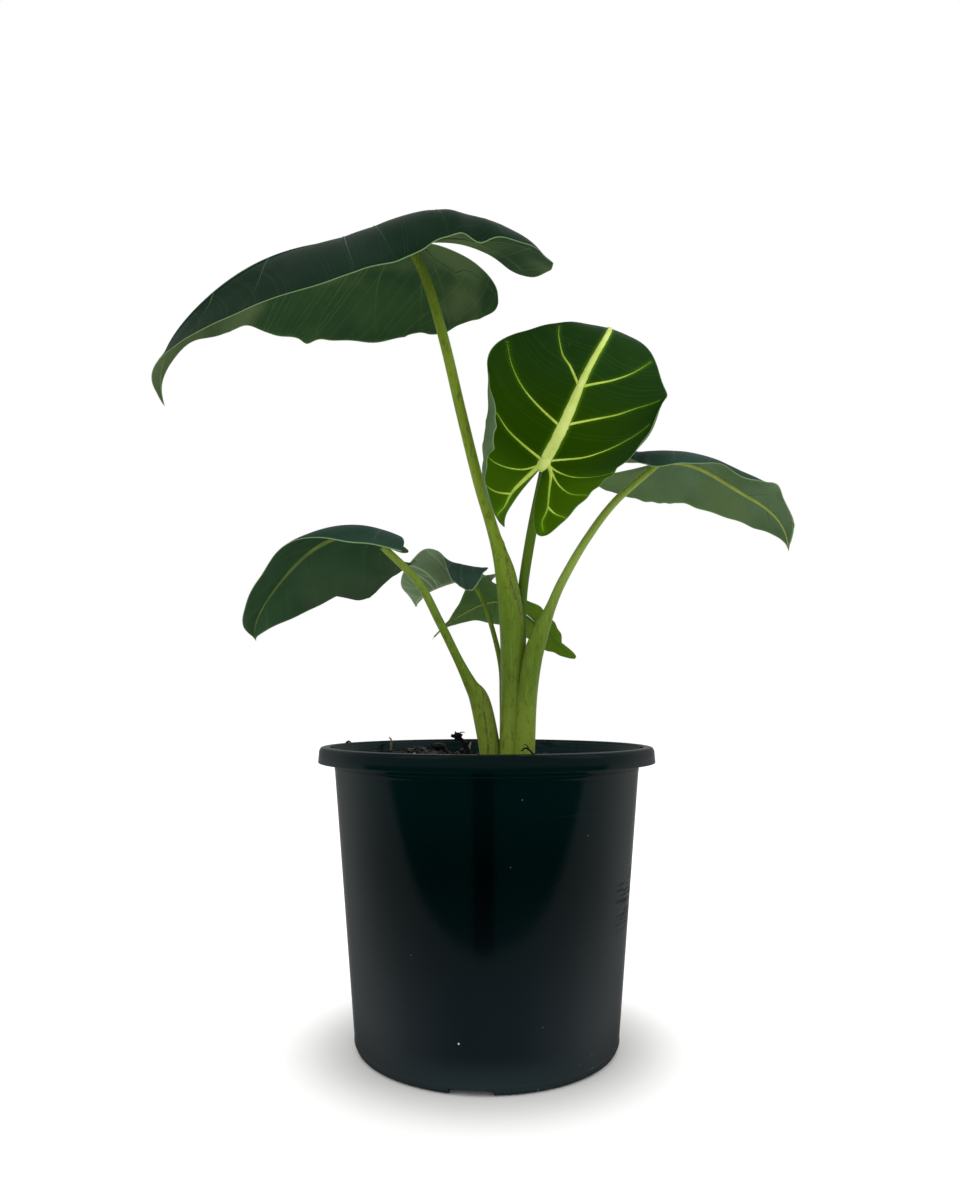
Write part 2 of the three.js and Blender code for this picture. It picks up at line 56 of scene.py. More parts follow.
def through(values, share):
    """Value at a share from 0 to 1 of a smooth curve through values at equal steps.

    The curve is a Catmull-Rom spline, and each end is mirrored to give it a slope.
    """
    values = np.asarray(values, float)
    last = len(values) - 1
    padded = np.concatenate([[2 * values[0] - values[1]], values, [2 * values[-1] - values[-2]]])
    place = np.clip(np.asarray(share, float), 0, 1) * last
    k = np.minimum(place.astype(int), last - 1)
    t = place - k
    if padded.ndim > 1:
        t = t[..., None]
    a, b, c, d = (padded[k + step] for step in range(4))
    parabola = 2 * b + (c - a) * t + (2 * a - 5 * b + 4 * c - d) * t ** 2
    return 0.5 * (parabola + (3 * b - a - 3 * c + d) * t ** 3)


def smoothstep(value, low, high):
    """0 below low, 1 above high and a smooth S between; low may be the larger."""
    t = np.clip((np.asarray(value, float) - low) / (high - low), 0, 1)
    return t * t * (3 - 2 * t)


def bell(value, centre, width):
    """A bump of height 1 at centre that falls to about a third one width away."""
    return np.exp(-(((np.asarray(value, float) - centre) / width) ** 2))


def unit(vectors):
    """Vectors scaled to length 1; a zero vector stays zero."""
    size = np.linalg.norm(vectors, axis=-1, keepdims=True)
    return vectors / np.maximum(size, 1e-12)


def read(g, stations, table):
    """Vectors of a table whose rows stand at the stations, read in between at g."""
    return np.stack([np.interp(g, stations, column) for column in table.T], -1)


# Large odd numbers that scatter the cells of the noise's lattice, and its seeds, over the whole numbers
CELL_FACTORS = (73856093, 19349663, 83492791)
SEED_FACTOR = 2654435761
SCATTER_FACTOR = 1274126177


def value_noise(points, scale, seed):
    """Smooth noise from -1 to 1 at points.

    Each corner of a lattice of that scale has a random number, and an S curve blends the eight round a point.
    """
    place = np.asarray(points, float) / scale
    cell = np.floor(place).astype(np.int64)
    t = place - cell
    t = t * t * (3 - 2 * t)
    total = 0
    for corner in np.ndindex(2, 2, 2):
        code = np.bitwise_xor.reduce((cell + corner) * CELL_FACTORS, -1) ^ (seed * SEED_FACTOR)
        code = (code ^ (code >> 13)) * SCATTER_FACTOR
        number = ((code ^ (code >> 16)) & 0xFFFF) / 0xFFFF * 2 - 1
        weight = np.prod(np.where(np.array(corner) == 1, t, 1 - t), -1)
        total = total + number * weight
    return total


def noise_along(line, scale, seed):
    """Noise that changes with one number only."""
    return value_noise(np.stack([line, 0 * line, 0 * line], -1), scale, seed)


# Meshes


def placed(name, data):
    """A new object in the scene that holds data."""
    thing = bpy.data.objects.new(name, data)
    bpy.context.scene.collection.objects.link(thing)
    return thing


def new_piece(name, points, faces, materials, face_material=None, attributes=None, weld=0):
    """A smooth mesh object from points in metres and a list of face arrays, riding on the one body.

    attributes gives each point a number under a name, and points closer than weld become one.
    """
    mesh = bpy.data.meshes.new(name)
    corners = np.concatenate([part.ravel() for part in faces]).astype(np.int32)
    sizes = np.concatenate([np.full(len(part), part.shape[1]) for part in faces])
    starts = np.concatenate([[0], np.cumsum(sizes)[:-1]]).astype(np.int32)
    mesh.vertices.add(len(points))
    mesh.vertices.foreach_set("co", np.asarray(points, np.float32).ravel())
    mesh.loops.add(len(corners))
    mesh.loops.foreach_set("vertex_index", corners)
    mesh.polygons.add(len(starts))
    mesh.polygons.foreach_set("loop_start", starts)
    if face_material is not None:
        mesh.polygons.foreach_set("material_index", np.asarray(face_material, np.int32))
    for key, values in (attributes or {}).items():
        layer = mesh.attributes.new(key, "FLOAT", "POINT")
        layer.data.foreach_set("value", np.asarray(values, np.float32))
    for material in materials:
        mesh.materials.append(material)
    mesh.update(calc_edges=True)
    mesh.validate()
    if weld:
        work = bmesh.new()
        work.from_mesh(mesh)
        bmesh.ops.remove_doubles(work, verts=work.verts, dist=weld)
        bmesh.ops.dissolve_degenerate(work, edges=work.edges, dist=weld)
        work.to_mesh(mesh)
        work.free()
    mesh.polygons.foreach_set("use_smooth", np.ones(len(mesh.polygons), bool))
    mesh.update()
    piece = placed(name, mesh)
    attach(piece, ROOT)
    return piece


def grid_faces(rows, columns, start=0, close_columns=False, flip=False):
    """Quads of a grid of points stored row by row; close_columns joins the last column to the first."""
    i = np.arange(rows - 1)[:, None]
    j = np.arange(columns if close_columns else columns - 1)[None]
    k = (j + 1) % columns
    quads = np.stack([i * columns + j, i * columns + k, (i + 1) * columns + k, (i + 1) * columns + j], -1)
    quads = quads.reshape(-1, 4) + start
    return quads[:, ::-1] if flip else quads


def tube_faces(rows, sides, start=0, flip=False):
    """Faces of a closed tube whose rings are stored one after the other: its wall and a cap on each end."""
    ring = np.arange(sides)[None] + start
    caps = [ring[:, ::-1], ring + (rows - 1) * sides]
    wall = grid_faces(rows, sides, start, close_columns=True, flip=flip)
    return [wall, *(cap[:, ::-1] if flip else cap for cap in caps)]


def around(sides):
    """Angles of the sides of a ring, from 0 up to a full turn."""
    return np.linspace(0, FULL_TURN, sides, endpoint=False)


# Camera, fitted to the ellipses of the pot's rim and foot: lengths in metres, angles in degrees
PICTURE_HEIGHT = 1200
FOCAL_LENGTH_IN_PIXELS = 867
SENSOR_SIZE = 36
CAMERA_PLACE = (0, -0.5575, 0.2035)
CAMERA_TILT_UP = 6.8
CAMERA_TURN = 0.0074

camera_data = bpy.data.cameras.new("camera")
camera_data.lens = FOCAL_LENGTH_IN_PIXELS / PICTURE_HEIGHT * SENSOR_SIZE
camera_data.sensor_width = SENSOR_SIZE
camera_data.clip_start = 0.01
camera = placed("camera", camera_data)
camera.location = CAMERA_PLACE
camera.rotation_euler = (math.radians(90 + CAMERA_TILT_UP), 0, CAMERA_TURN)
bpy.context.scene.camera = camera
bpy.context.scene.view_settings.view_transform = "Standard"

# Materials


def colour(value):
    """A screen colour as linear light, by the screen's standard curve; a Value passes through."""
    if isinstance(value, Value):
        return value
    share = np.asarray(value, float) / 255
    linear = np.where(share > 0.04045, ((share + 0.055) / 1.055) ** 2.4, share / 12.92)
    return (*linear, 1.0)


class Value:
    """A socket in a material with arithmetic: each expression adds its Math node."""

    def __init__(self, finish, socket):
        self.finish = finish
        self.socket = socket

    def math(self, operation, *others):
        """The Math node of that operation on this value and the others."""
        inputs = dict(enumerate([self, *others]))
        return self.finish.node("ShaderNodeMath", {"operation": operation}, inputs)

    def __add__(self, other):
        return self.math("ADD", other)

    def __sub__(self, other):
        return self.math("SUBTRACT", other)

    def __rsub__(self, other):
        return self * -1 + other

    def __mul__(self, other):
        return self.math("MULTIPLY", other)

    def __pow__(self, other):
        return self.math("POWER", other)

    __radd__ = __add__
    __rmul__ = __mul__

    def ramp(self, low, high):
        """0 at low, 1 at high and a smooth S between; low may be the larger."""
        inputs = {"Value": self, "From Min": low, "From Max": high}
        return self.finish.node("ShaderNodeMapRange", {"interpolation_type": "SMOOTHSTEP"}, inputs)


class Finish:
    """One material under construction, round Blender's own Principled shader."""

    def __init__(self, name, **constants):
        self.material = bpy.data.materials.new(name)
        self.material.use_nodes = True
        self.tree = self.material.node_tree
        self.shader = self.tree.nodes["Principled BSDF"]
        for key, value in constants.items():
            self.shader.inputs[key.replace("_", " ")].default_value = value

    def put(self, socket, value):
        """Links a Value to the socket, or sets the socket's own number or colour."""
        if isinstance(value, Value):
            self.tree.links.new(value.socket, socket)
        else:
            socket.default_value = value

    def node(self, kind, settings, inputs, output=0):
        """A new node's output as a Value: its settings are set first, then its inputs by name or number."""
        node = self.tree.nodes.new(kind)
        for key, value in settings.items():
            setattr(node, key, value)
        for key, value in inputs.items():
            self.put(node.inputs[key], value)
        return Value(self, node.outputs[output])

    def attribute(self, name):
        """The number that the mesh gives each point under that name."""
        return self.node("ShaderNodeAttribute", {"attribute_name": name}, {}, "Fac")

    def place(self, stretch=(1, 1, 1)):
        """Object coordinates, in metres times the stretch of each axis."""
        spot = self.node("ShaderNodeTexCoord", {}, {}, "Object")
        return self.node("ShaderNodeMapping", {}, {"Vector": spot, "Scale": stretch})

    def axes(self):
        """The three object coordinates, each as a Value in metres."""
        parts = self.node("ShaderNodeSeparateXYZ", {}, {"Vector": self.place()}).socket.node
        return [Value(self, parts.outputs[axis]) for axis in "XYZ"]

    def noise(self, scale, detail=3.0, stretch=(1, 1, 1), roughness=0.5):
        """Clouds from 0 to 1, with scale of them to a metre."""
        inputs = {"Vector": self.place(stretch), "Scale": scale, "Detail": detail, "Roughness": roughness}
        return self.node("ShaderNodeTexNoise", {}, inputs, "Fac")

    def mix(self, share, first, second):
        """Colour first where share is 0 and second where it is 1."""
        inputs = {0: share, 6: colour(first), 7: colour(second)}
        return self.node("ShaderNodeMix", {"data_type": "RGBA", "clamp_factor": True}, inputs, 2)

    def feed(self, name, value):
        """Puts the value into the shader's input of that name."""
        self.put(self.shader.inputs[name], value)

    def paint(self, base, layers=()):
        """Base colour, with layers of (share, colour) mixed over it one after the other."""
        for share, tint in layers:
            base = self.mix(share, base, tint)
        self.feed("Base Color", colour(base))

    def bump(self, height, distance, strength=1.0):
        """Dents and bumps of a height from 0 to 1 times the distance in metres."""
        inputs = {"Height": height, "Distance": distance, "Strength": strength}
        self.feed("Normal", self.node("ShaderNodeBump", {}, inputs))

    def blend(self, kind, tint, share):
        """Mixes a plain shader of another kind, in one tint, over the surface by its share."""
        other = self.node(kind, {}, {"Color": colour(tint)})
        surface = Value(self, self.shader.outputs[0])
        both = self.node("ShaderNodeMixShader", {}, {0: share, 1: surface, 2: other})
        self.put(self.tree.nodes["Material Output"].inputs["Surface"], both)

    def let_light_through(self, tint, share):
        """Adds a share of the light that comes through from the far side."""
        self.blend("ShaderNodeBsdfTranslucent", tint, share)


def blade_finish(name, dark, light, margin, glow, glow_share, through, through_tint=None, fine_tint=None,
                 fine_share=0.4, patch=None, lit=None, lobe=None):
    """Velvety or satin leaf skin.

    Cloudy between dark and light, with fine lines that run beside the veins, a soft glow at the veins and a
    thin pale margin. through is the share of light that comes from the far side. patch comes in broad soft
    patches. lobe is a painted backlight behind the joint: a bright green that stands for light shining
    through the lobes. lit is a painted backlight too, the green with light behind it, which fades towards the
    tip, the right half's outer part and the margin.
    """
    f = Finish(name, IOR=1.045, Roughness=0.5)
    clouds = f.noise(30)
    line = {"W": f.attribute("line"), "Scale": 0.6, "Detail": 3.0}
    fine = f.node("ShaderNodeTexNoise", {"noise_dimensions": "1D"}, line, "Fac")
    along = f.attribute("along")
    to_edge = f.attribute("edge")
    layers = []
    if patch:
        layers.append((f.noise(16, 2).ramp(0.42, 0.62) * 0.85, patch))
    # Painted backlight: the lit green, faded towards the tip, the right half's outer part and the margin
    if lit:
        far = along.ramp(0.12, 0.5).math("MAXIMUM", f.attribute("aside").ramp(-0.3, -0.85) * 0.8)
        far = far.math("MAXIMUM", to_edge.ramp(9, 1) * 0.5)
        layers.append((1 - far, lit))
    # Painted backlight on the lobes behind the joint
    if lobe:
        layers.append(((along * -1).ramp(-0.08, 0.4) * 0.8, lobe))
    layers += [
        (fine.ramp(0.56, 0.7) * fine_share, fine_tint or light),
        (f.attribute("near_vein") ** 3 * glow_share, glow),
        (to_edge.ramp(0.9, 0.3) * 0.7, margin)]
    f.paint(f.mix(clouds.ramp(0.3, 0.75), dark, light), layers)
    f.bump(clouds, 0.0005, 0.6)
    f.let_light_through(through_tint or light, through)
    return f.material


def vein_finish(name, tint, pale, far=None):
    """A vein's skin in two streaky tints; far is what it fades to at its outer end."""
    f = Finish(name, IOR=1.15, Roughness=0.5)
    streak = f.noise(70, 2)
    layers = []
    if far:
        layers.append((f.attribute("reach").ramp(0.1, 1.1) * 0.9, far))
    f.paint(f.mix(streak.ramp(0.35, 0.7), tint, pale), layers)
    f.bump(streak, 0.0004, 0.4)
    return f.material


# Leaf blades. The tables repeat the part's own source: see its comments for what the numbers are. The left
# blade also has a soft side, where a bridge from the first to the second g of its span takes a crease out.
OUTLINE = np.array([
    [1, 0], [0.95, 0.05], [0.86, 0.19], [0.72, 0.44], [0.56, 0.7], [0.4, 0.9], [0.24, 1], [0.05, 0.97],
    [-0.3, 0.85], [-0.6, 0.66], [-0.85, 0.46], [-1, 0.27], [-0.93, 0.13], [-0.62, 0.08], [-0.3, 0.05],
    [0, 0]])
LOBE_TIP = 11 / 15
AXIS_STEPS = 60
FOLD_STEPS = 14
LEFT, RIGHT = 1, -1
UPPER, LOWER = 1, -1

LEAVES = {
    "tall": dict(
        joint=(-39.6, -23.2, 502.4), length=230, half_width=98, lobes={LEFT: 66, RIGHT: 60}, taper=0,
        climb={LEFT: -1, RIGHT: 61, "blade": (-3, -24, -47, -39)},
        heading={LEFT: 258, RIGHT: 166, "blade": (196, 207, 186, 84)},
        root={LEFT: (-8, 3, -20, -44, -77), RIGHT: (-18, 21, 9, 18, 109)},
        edge={LEFT: (-102, -83, -54, -42, -16), RIGHT: (-45, -58, -37, -31, -126)},
        bend={LEFT: 1.7, RIGHT: 0.8}),
    "upright": dict(
        joint=(37.2, -18.7, 355.7), length=188, half_width=70, lobes={LEFT: 74, RIGHT: 55}, taper=1.2,
        climb={LEFT: 37, RIGHT: 83, "blade": (62, 65, 25, -108)},
        heading={LEFT: 109, RIGHT: 67, "blade": (14, 10, 86, 130)},
        root={LEFT: (35, 69, 54, 9, 17), RIGHT: (21, -42, -105, -25, -16)},
        edge={LEFT: (277, 235, 130, 42, -1), RIGHT: (-1, 3, 29, -13, -8)}, bend={LEFT: 2, RIGHT: 2.1}),
    "right": dict(
        joint=(112.5, -4, 360.1), length=108.5, half_width=46.6, lobes={LEFT: 42.6, RIGHT: 41.6}, taper=0,
        climb={LEFT: 7, RIGHT: -11, "blade": (3, -33, -38, -93)},
        heading={LEFT: 1, RIGHT: -3, "blade": (-19, -6, -9, -25)},
        root={LEFT: (-13, -13, -5, -28, -74), RIGHT: (48, 23, 18, 35, 35)},
        edge={LEFT: (-46, -47, -36, -13, -12), RIGHT: (-73, -67, -41, -51, -49)},
        bend={LEFT: 1.5, RIGHT: 1.1}),
    "left": dict(
        joint=(-63.1, -36.2, 299.3), length=124, half_width=50, lobes={LEFT: 23, RIGHT: 36}, taper=0,
        soft_side=RIGHT, soft_span=(-0.75, 0.5),
        climb={LEFT: -2, RIGHT: -33, "blade": (31, -30, -48, -34)},
        heading={LEFT: 147, RIGHT: 233, "blade": (209, 173, 154, 89)},
        root={LEFT: (31, 21, 9, -13, -49), RIGHT: (-9, -23, -31, -33, -40)},
        edge={LEFT: (-68, -67, -33, -25, -25), RIGHT: (-48, -41, -35, -31, -25)},
        bend={LEFT: 1.2, RIGHT: 1.4}),
    "small": dict(
        joint=(-11.1, 16.7, 287.1), length=54, half_width=36, lobes={LEFT: 17, RIGHT: 24}, taper=0.1,
        climb={LEFT: -14, RIGHT: -24, "blade": (-7, -20, -20, -21)},
        heading={LEFT: 160, RIGHT: 225, "blade": (153, 179, 129, 96)},
        root={LEFT: (42, 68, 48, 24, 41), RIGHT: (-30, 10, 36, 45, 48)},
        edge={LEFT: (-214, -100, 24, 35, 59), RIGHT: (-30, 4, 36, 45, 46)}, bend={LEFT: 1, RIGHT: 1.2}),
    "rear": dict(
        joint=(19.6, 36.7, 270.2), length=69, half_width=28, lobes={LEFT: 40, RIGHT: 56}, taper=0.8,
        climb={LEFT: 64, RIGHT: 35, "blade": (32, -14, -34, -50)},
        heading={LEFT: 200, RIGHT: 174, "blade": (150, 163, 180, 181)},
        root={LEFT: (39, 25, 20, 13, 18), RIGHT: (-47, -40, -25, -20, -34)},
        edge={LEFT: (10, 20, 33, 35, 33), RIGHT: (-30, -45, -47, -35, -29)}, bend={LEFT: 1.4, RIGHT: 1.6}),
}

# Veins of each half as places (share of the length or the lobe, share of the half width) that a smooth line
# joins. side veins leave the midrib, lobe holds the main rib of the lobe, and branch what springs from that.
# COMMON_VEINS serves the blades whose veins can hardly be seen.
VEINS = {
    "tall": {
        LEFT: dict(
            side=[[(0, 0.02), (0.02, 0.35), (0.033, 0.7), (0.035, 0.97)],
                  [(0.17, 0), (0.2, 0.3), (0.25, 0.62), (0.3, 0.96)],
                  [(0.24, 0), (0.3, 0.33), (0.39, 0.76), (0.42, 0.86)],
                  [(0.46, 0), (0.49, 0.08), (0.58, 0.33), (0.68, 0.55)],
                  [(0.64, 0), (0.7, 0.16), (0.8, 0.32)]],
            lobe=[[(0, 0.02), (-0.3, 0.12), (-0.6, 0.16), (-0.9, 0.22)]],
            branch=[[(-0.05, 0.04), (-0.15, 0.3), (-0.24, 0.6), (-0.28, 0.86)],
                    [(-0.4, 0.14), (-0.52, 0.28), (-0.6, 0.44), (-0.64, 0.6)]]),
        RIGHT: dict(
            side=[[(0.07, 0), (0.083, 0.35), (0.09, 0.6), (0.08, 0.9)],
                  [(0.15, 0), (0.183, 0.49), (0.233, 0.79), (0.25, 0.95)],
                  [(0.3, 0), (0.34, 0.34), (0.4, 0.62), (0.44, 0.84)],
                  [(0.44, 0), (0.5, 0.28), (0.57, 0.5), (0.61, 0.62)],
                  [(0.6, 0), (0.67, 0.2), (0.75, 0.36)]],
            lobe=[[(0, 0.1), (-0.15, 0.23), (-0.35, 0.28), (-0.458, 0.338), (-0.81, 0.45)]],
            branch=[[(-0.38, 0.29), (-0.5, 0.2), (-0.75, 0.18), (-0.96, 0.18)],
                    [(-0.01, 0.12), (-0.08, 0.4), (-0.12, 0.65), (-0.16, 0.88)],
                    [(-0.12, 0.22), (-0.28, 0.45), (-0.4, 0.62), (-0.46, 0.72)]])},
    "upright": {
        LEFT: dict(
            side=[[(0.3, 0), (0.37, 0.18), (0.417, 0.325), (0.492, 0.44), (0.56, 0.48)],
                  [(0.14, 0), (0.192, 0.29), (0.242, 0.51), (0.3, 0.69), (0.367, 0.85)],
                  [(0.005, 0.02), (0.033, 0.3), (0.05, 0.45), (0.075, 0.6), (0.085, 0.7)]],
            lobe=[[(-0.02, 0.03), (-0.28, 0.1), (-0.43, 0.125), (-0.62, 0.13), (-0.83, 0.2)]],
            branch=[[(-0.02, 0.02), (-0.14, 0.14), (-0.225, 0.31), (-0.28, 0.49), (-0.3, 0.7)],
                    [(-0.43, 0.125), (-0.52, 0.24), (-0.575, 0.34), (-0.63, 0.45)]]),
        RIGHT: dict(
            side=[[(0.3, 0), (0.39, 0.24), (0.475, 0.39), (0.56, 0.49)],
                  [(0.15, 0), (0.217, 0.24), (0.275, 0.44), (0.34, 0.61), (0.39, 0.78)],
                  [(0.01, 0.03), (0.05, 0.31), (0.1, 0.46), (0.167, 0.6), (0.25, 0.78)]],
            lobe=[[(0.01, 0.02), (-0.1, 0.11), (-0.275, 0.175), (-0.64, 0.24), (-0.82, 0.2), (-0.93, 0.22)]],
            branch=[[(-0.02, 0.05), (-0.1, 0.2), (-0.167, 0.39), (-0.18, 0.6), (-0.15, 0.93)],
                    [(-0.1, 0.12), (-0.33, 0.3), (-0.5, 0.475), (-0.57, 0.66)],
                    [(-0.64, 0.24), (-0.76, 0.34), (-0.84, 0.46)]])},
}
COMMON_BRANCHES = [[(-0.04, 0.04), (-0.15, 0.3), (-0.24, 0.6), (-0.28, 0.84)],
                   [(-0.4, 0.14), (-0.52, 0.28), (-0.62, 0.48)]]
COMMON_VEINS = {
    LEFT: dict(
        side=[[(0.02, 0), (0.06, 0.4), (0.1, 0.9)], [(0.18, 0), (0.26, 0.4), (0.36, 0.84)],
              [(0.36, 0), (0.45, 0.32), (0.56, 0.66)], [(0.54, 0), (0.63, 0.24), (0.73, 0.44)],
              [(0.7, 0), (0.78, 0.14), (0.87, 0.22)]],
        lobe=[[(0, 0.02), (-0.3, 0.12), (-0.6, 0.16), (-0.9, 0.22)]], branch=COMMON_BRANCHES),
    RIGHT: dict(
        side=[[(0.05, 0), (0.09, 0.4), (0.12, 0.92)], [(0.22, 0), (0.3, 0.4), (0.4, 0.8)],
              [(0.4, 0), (0.49, 0.3), (0.6, 0.6)], [(0.57, 0), (0.66, 0.22), (0.76, 0.38)],
              [(0.74, 0), (0.82, 0.12), (0.89, 0.18)]],
        lobe=[[(0, 0.02), (-0.3, 0.12), (-0.6, 0.18), (-0.9, 0.24)]], branch=COMMON_BRANCHES),
}

# Margin waves as (half, place along, half length, outward mm, upward mm), all fading towards the midrib
WAVES = {
    "tall": [(RIGHT, 0.275, 0.02, 4, 1), (RIGHT, 0.235, 0.025, -2, -1), (RIGHT, 0.085, 0.055, 3.5, 1),
             (RIGHT, -0.12, 0.16, -4, -2), (RIGHT, -0.4, 0.12, 2, 1), (RIGHT, -0.62, 0.12, -2, -1),
             (RIGHT, 0.5, 0.05, -2.5, 1), (RIGHT, 0.38, 0.04, 1.5, 0), (RIGHT, 0.62, 0.05, 1.5, 1),
             (RIGHT, 0.8, 0.06, -3, 0), (LEFT, -0.02, 0.05, -1.2, 1), (LEFT, -0.14, 0.055, 2.6, -1.6),
             (LEFT, -0.3, 0.08, -1.4, 1), (LEFT, 0.45, 0.07, 1.6, 0), (LEFT, 0.58, 0.05, -1.2, 0),
             (LEFT, 0.2, 0.06, 1.2, 1), (LEFT, -0.6, 0.1, 2, -2)],
    "upright": [(LEFT, 0.3, 0.06, 1.6, 1), (LEFT, 0.46, 0.06, -1.5, -1), (LEFT, -0.1, 0.07, 1.4, 1.4),
                (LEFT, -0.45, 0.08, 1.6, 1.2), (RIGHT, 0.1, 0.06, 0.8, 1.5), (RIGHT, -0.2, 0.09, -0.8, -1),
                (RIGHT, 0.4, 0.06, 0.8, 1), (LEFT, 0.1, 0.05, -1.2, -1.5)],
    "right": [(RIGHT, 0.36, 0.05, -2, 0), (RIGHT, 0.53, 0.09, 11, -1), (RIGHT, 0.68, 0.05, -8, 5),
              (LEFT, 0.4, 0.08, 1, -1), (LEFT, -0.3, 0.1, 1, 1), (RIGHT, 0.87, 0.06, 4, 1),
              (RIGHT, 0.05, 0.08, 1, 0)],
    "left": [(LEFT, 0.19, 0.06, 1.6, -1), (LEFT, 0.34, 0.06, -1.4, 1), (LEFT, -0.2, 0.12, 1, 1),
             (RIGHT, 0.45, 0.06, -1.4, 0), (RIGHT, 0.3, 0.07, 1.2, 0), (RIGHT, 0.62, 0.06, 1, 1),
             (RIGHT, -0.3, 0.1, -1, 1)],
    "small": [(LEFT, 0.4, 0.08, 1, 1), (RIGHT, 0.3, 0.1, 0.8, -1), (LEFT, -0.5, 0.35, 6, 0)],
    "rear": [(LEFT, 0.3, 0.08, 1, 1), (RIGHT, 0.5, 0.1, -0.8, 1), (LEFT, -0.4, 0.1, 1, 1.4),
             (RIGHT, -0.5, 0.1, 1, -1.4)],
}

# How a blade is sampled: the outline, the grid of each half, and the step that gives its normals
OUTLINE_SAMPLES = 1500
LOBE_ROWS, FRONT_ROWS, COLUMNS = 64, 120, 38
LOBE_CROWDING, TIP_CROWDING = 1.6, 1.15
NORMAL_STEP = 2e-3

# The small waves that every margin has, as (height in mm, radians for a g of 1)
RIPPLE_OUTWARD, RIPPLE_UPWARD = (0.25, 37), (0.4, 29)

# The least share of the half width that the margin's waves are measured against, which matters at the tips
NARROWEST = 0.05

# The bridge of a soft side: how far its ends pull, the shares of the half width where it starts and is at its
# full strength, and the step that its slopes are measured with
BRIDGE_PULL, BRIDGE_START, BRIDGE_FULL = 0.6, 0.15, 0.5
SLOPE_STEP = 0.02

# Skin: half its thickness in mm and how it thins to the margin, the reach of the quilting and of the glow
# beside a vein, and how far the fine lines sweep back towards the margin
HALF_THICKNESS = 0.3
MARGIN_THICKNESS, THINNING_BAND = 0.4, 2.5
QUILT_REACH, GLOW_REACH = 5, 2.2
LINE_SWEEP = 0.16

# Veins: the section as (sideways in widths, up in heights), the size of each kind against a side vein, the
# share of its size that a vein keeps at its end, and how close to the margin it may come
VEIN_STEPS = 26
VEIN_SECTION = np.array([(-0.5, -0.12), (-0.3, 0.62), (0, 1), (0.3, 0.62), (0.5, -0.12), (0, -0.5)])
VEIN_SIZES = {"side": 1, "lobe": 1.7, "branch": 0.8}
VEIN_END_SIZE, VEIN_TAPER = 0.16, 1.3
VEIN_LIMIT = 0.985

# The midrib's rows and columns, the g where its round start and the whole midrib end, and its uneven width
MIDRIB_STEPS, MIDRIB_COLUMNS, MIDRIB_CROWDING = 120, 7, 1.2
MIDRIB_START, MIDRIB_END = 0.03, 0.97
MIDRIB_NOISE, MIDRIB_NOISE_SCALE = 0.07, 2.5

# The hub's setback behind the joint and its length against its width, in radii, and the scars' size in mm
HUB_RINGS, HUB_SIDES, HUB_SETBACK, HUB_STRETCH = 14, 32, 0.2, 1.2
SCAR_STEPS, SCAR_WIDTH, SCAR_HEIGHT = 8, 0.8, 0.35


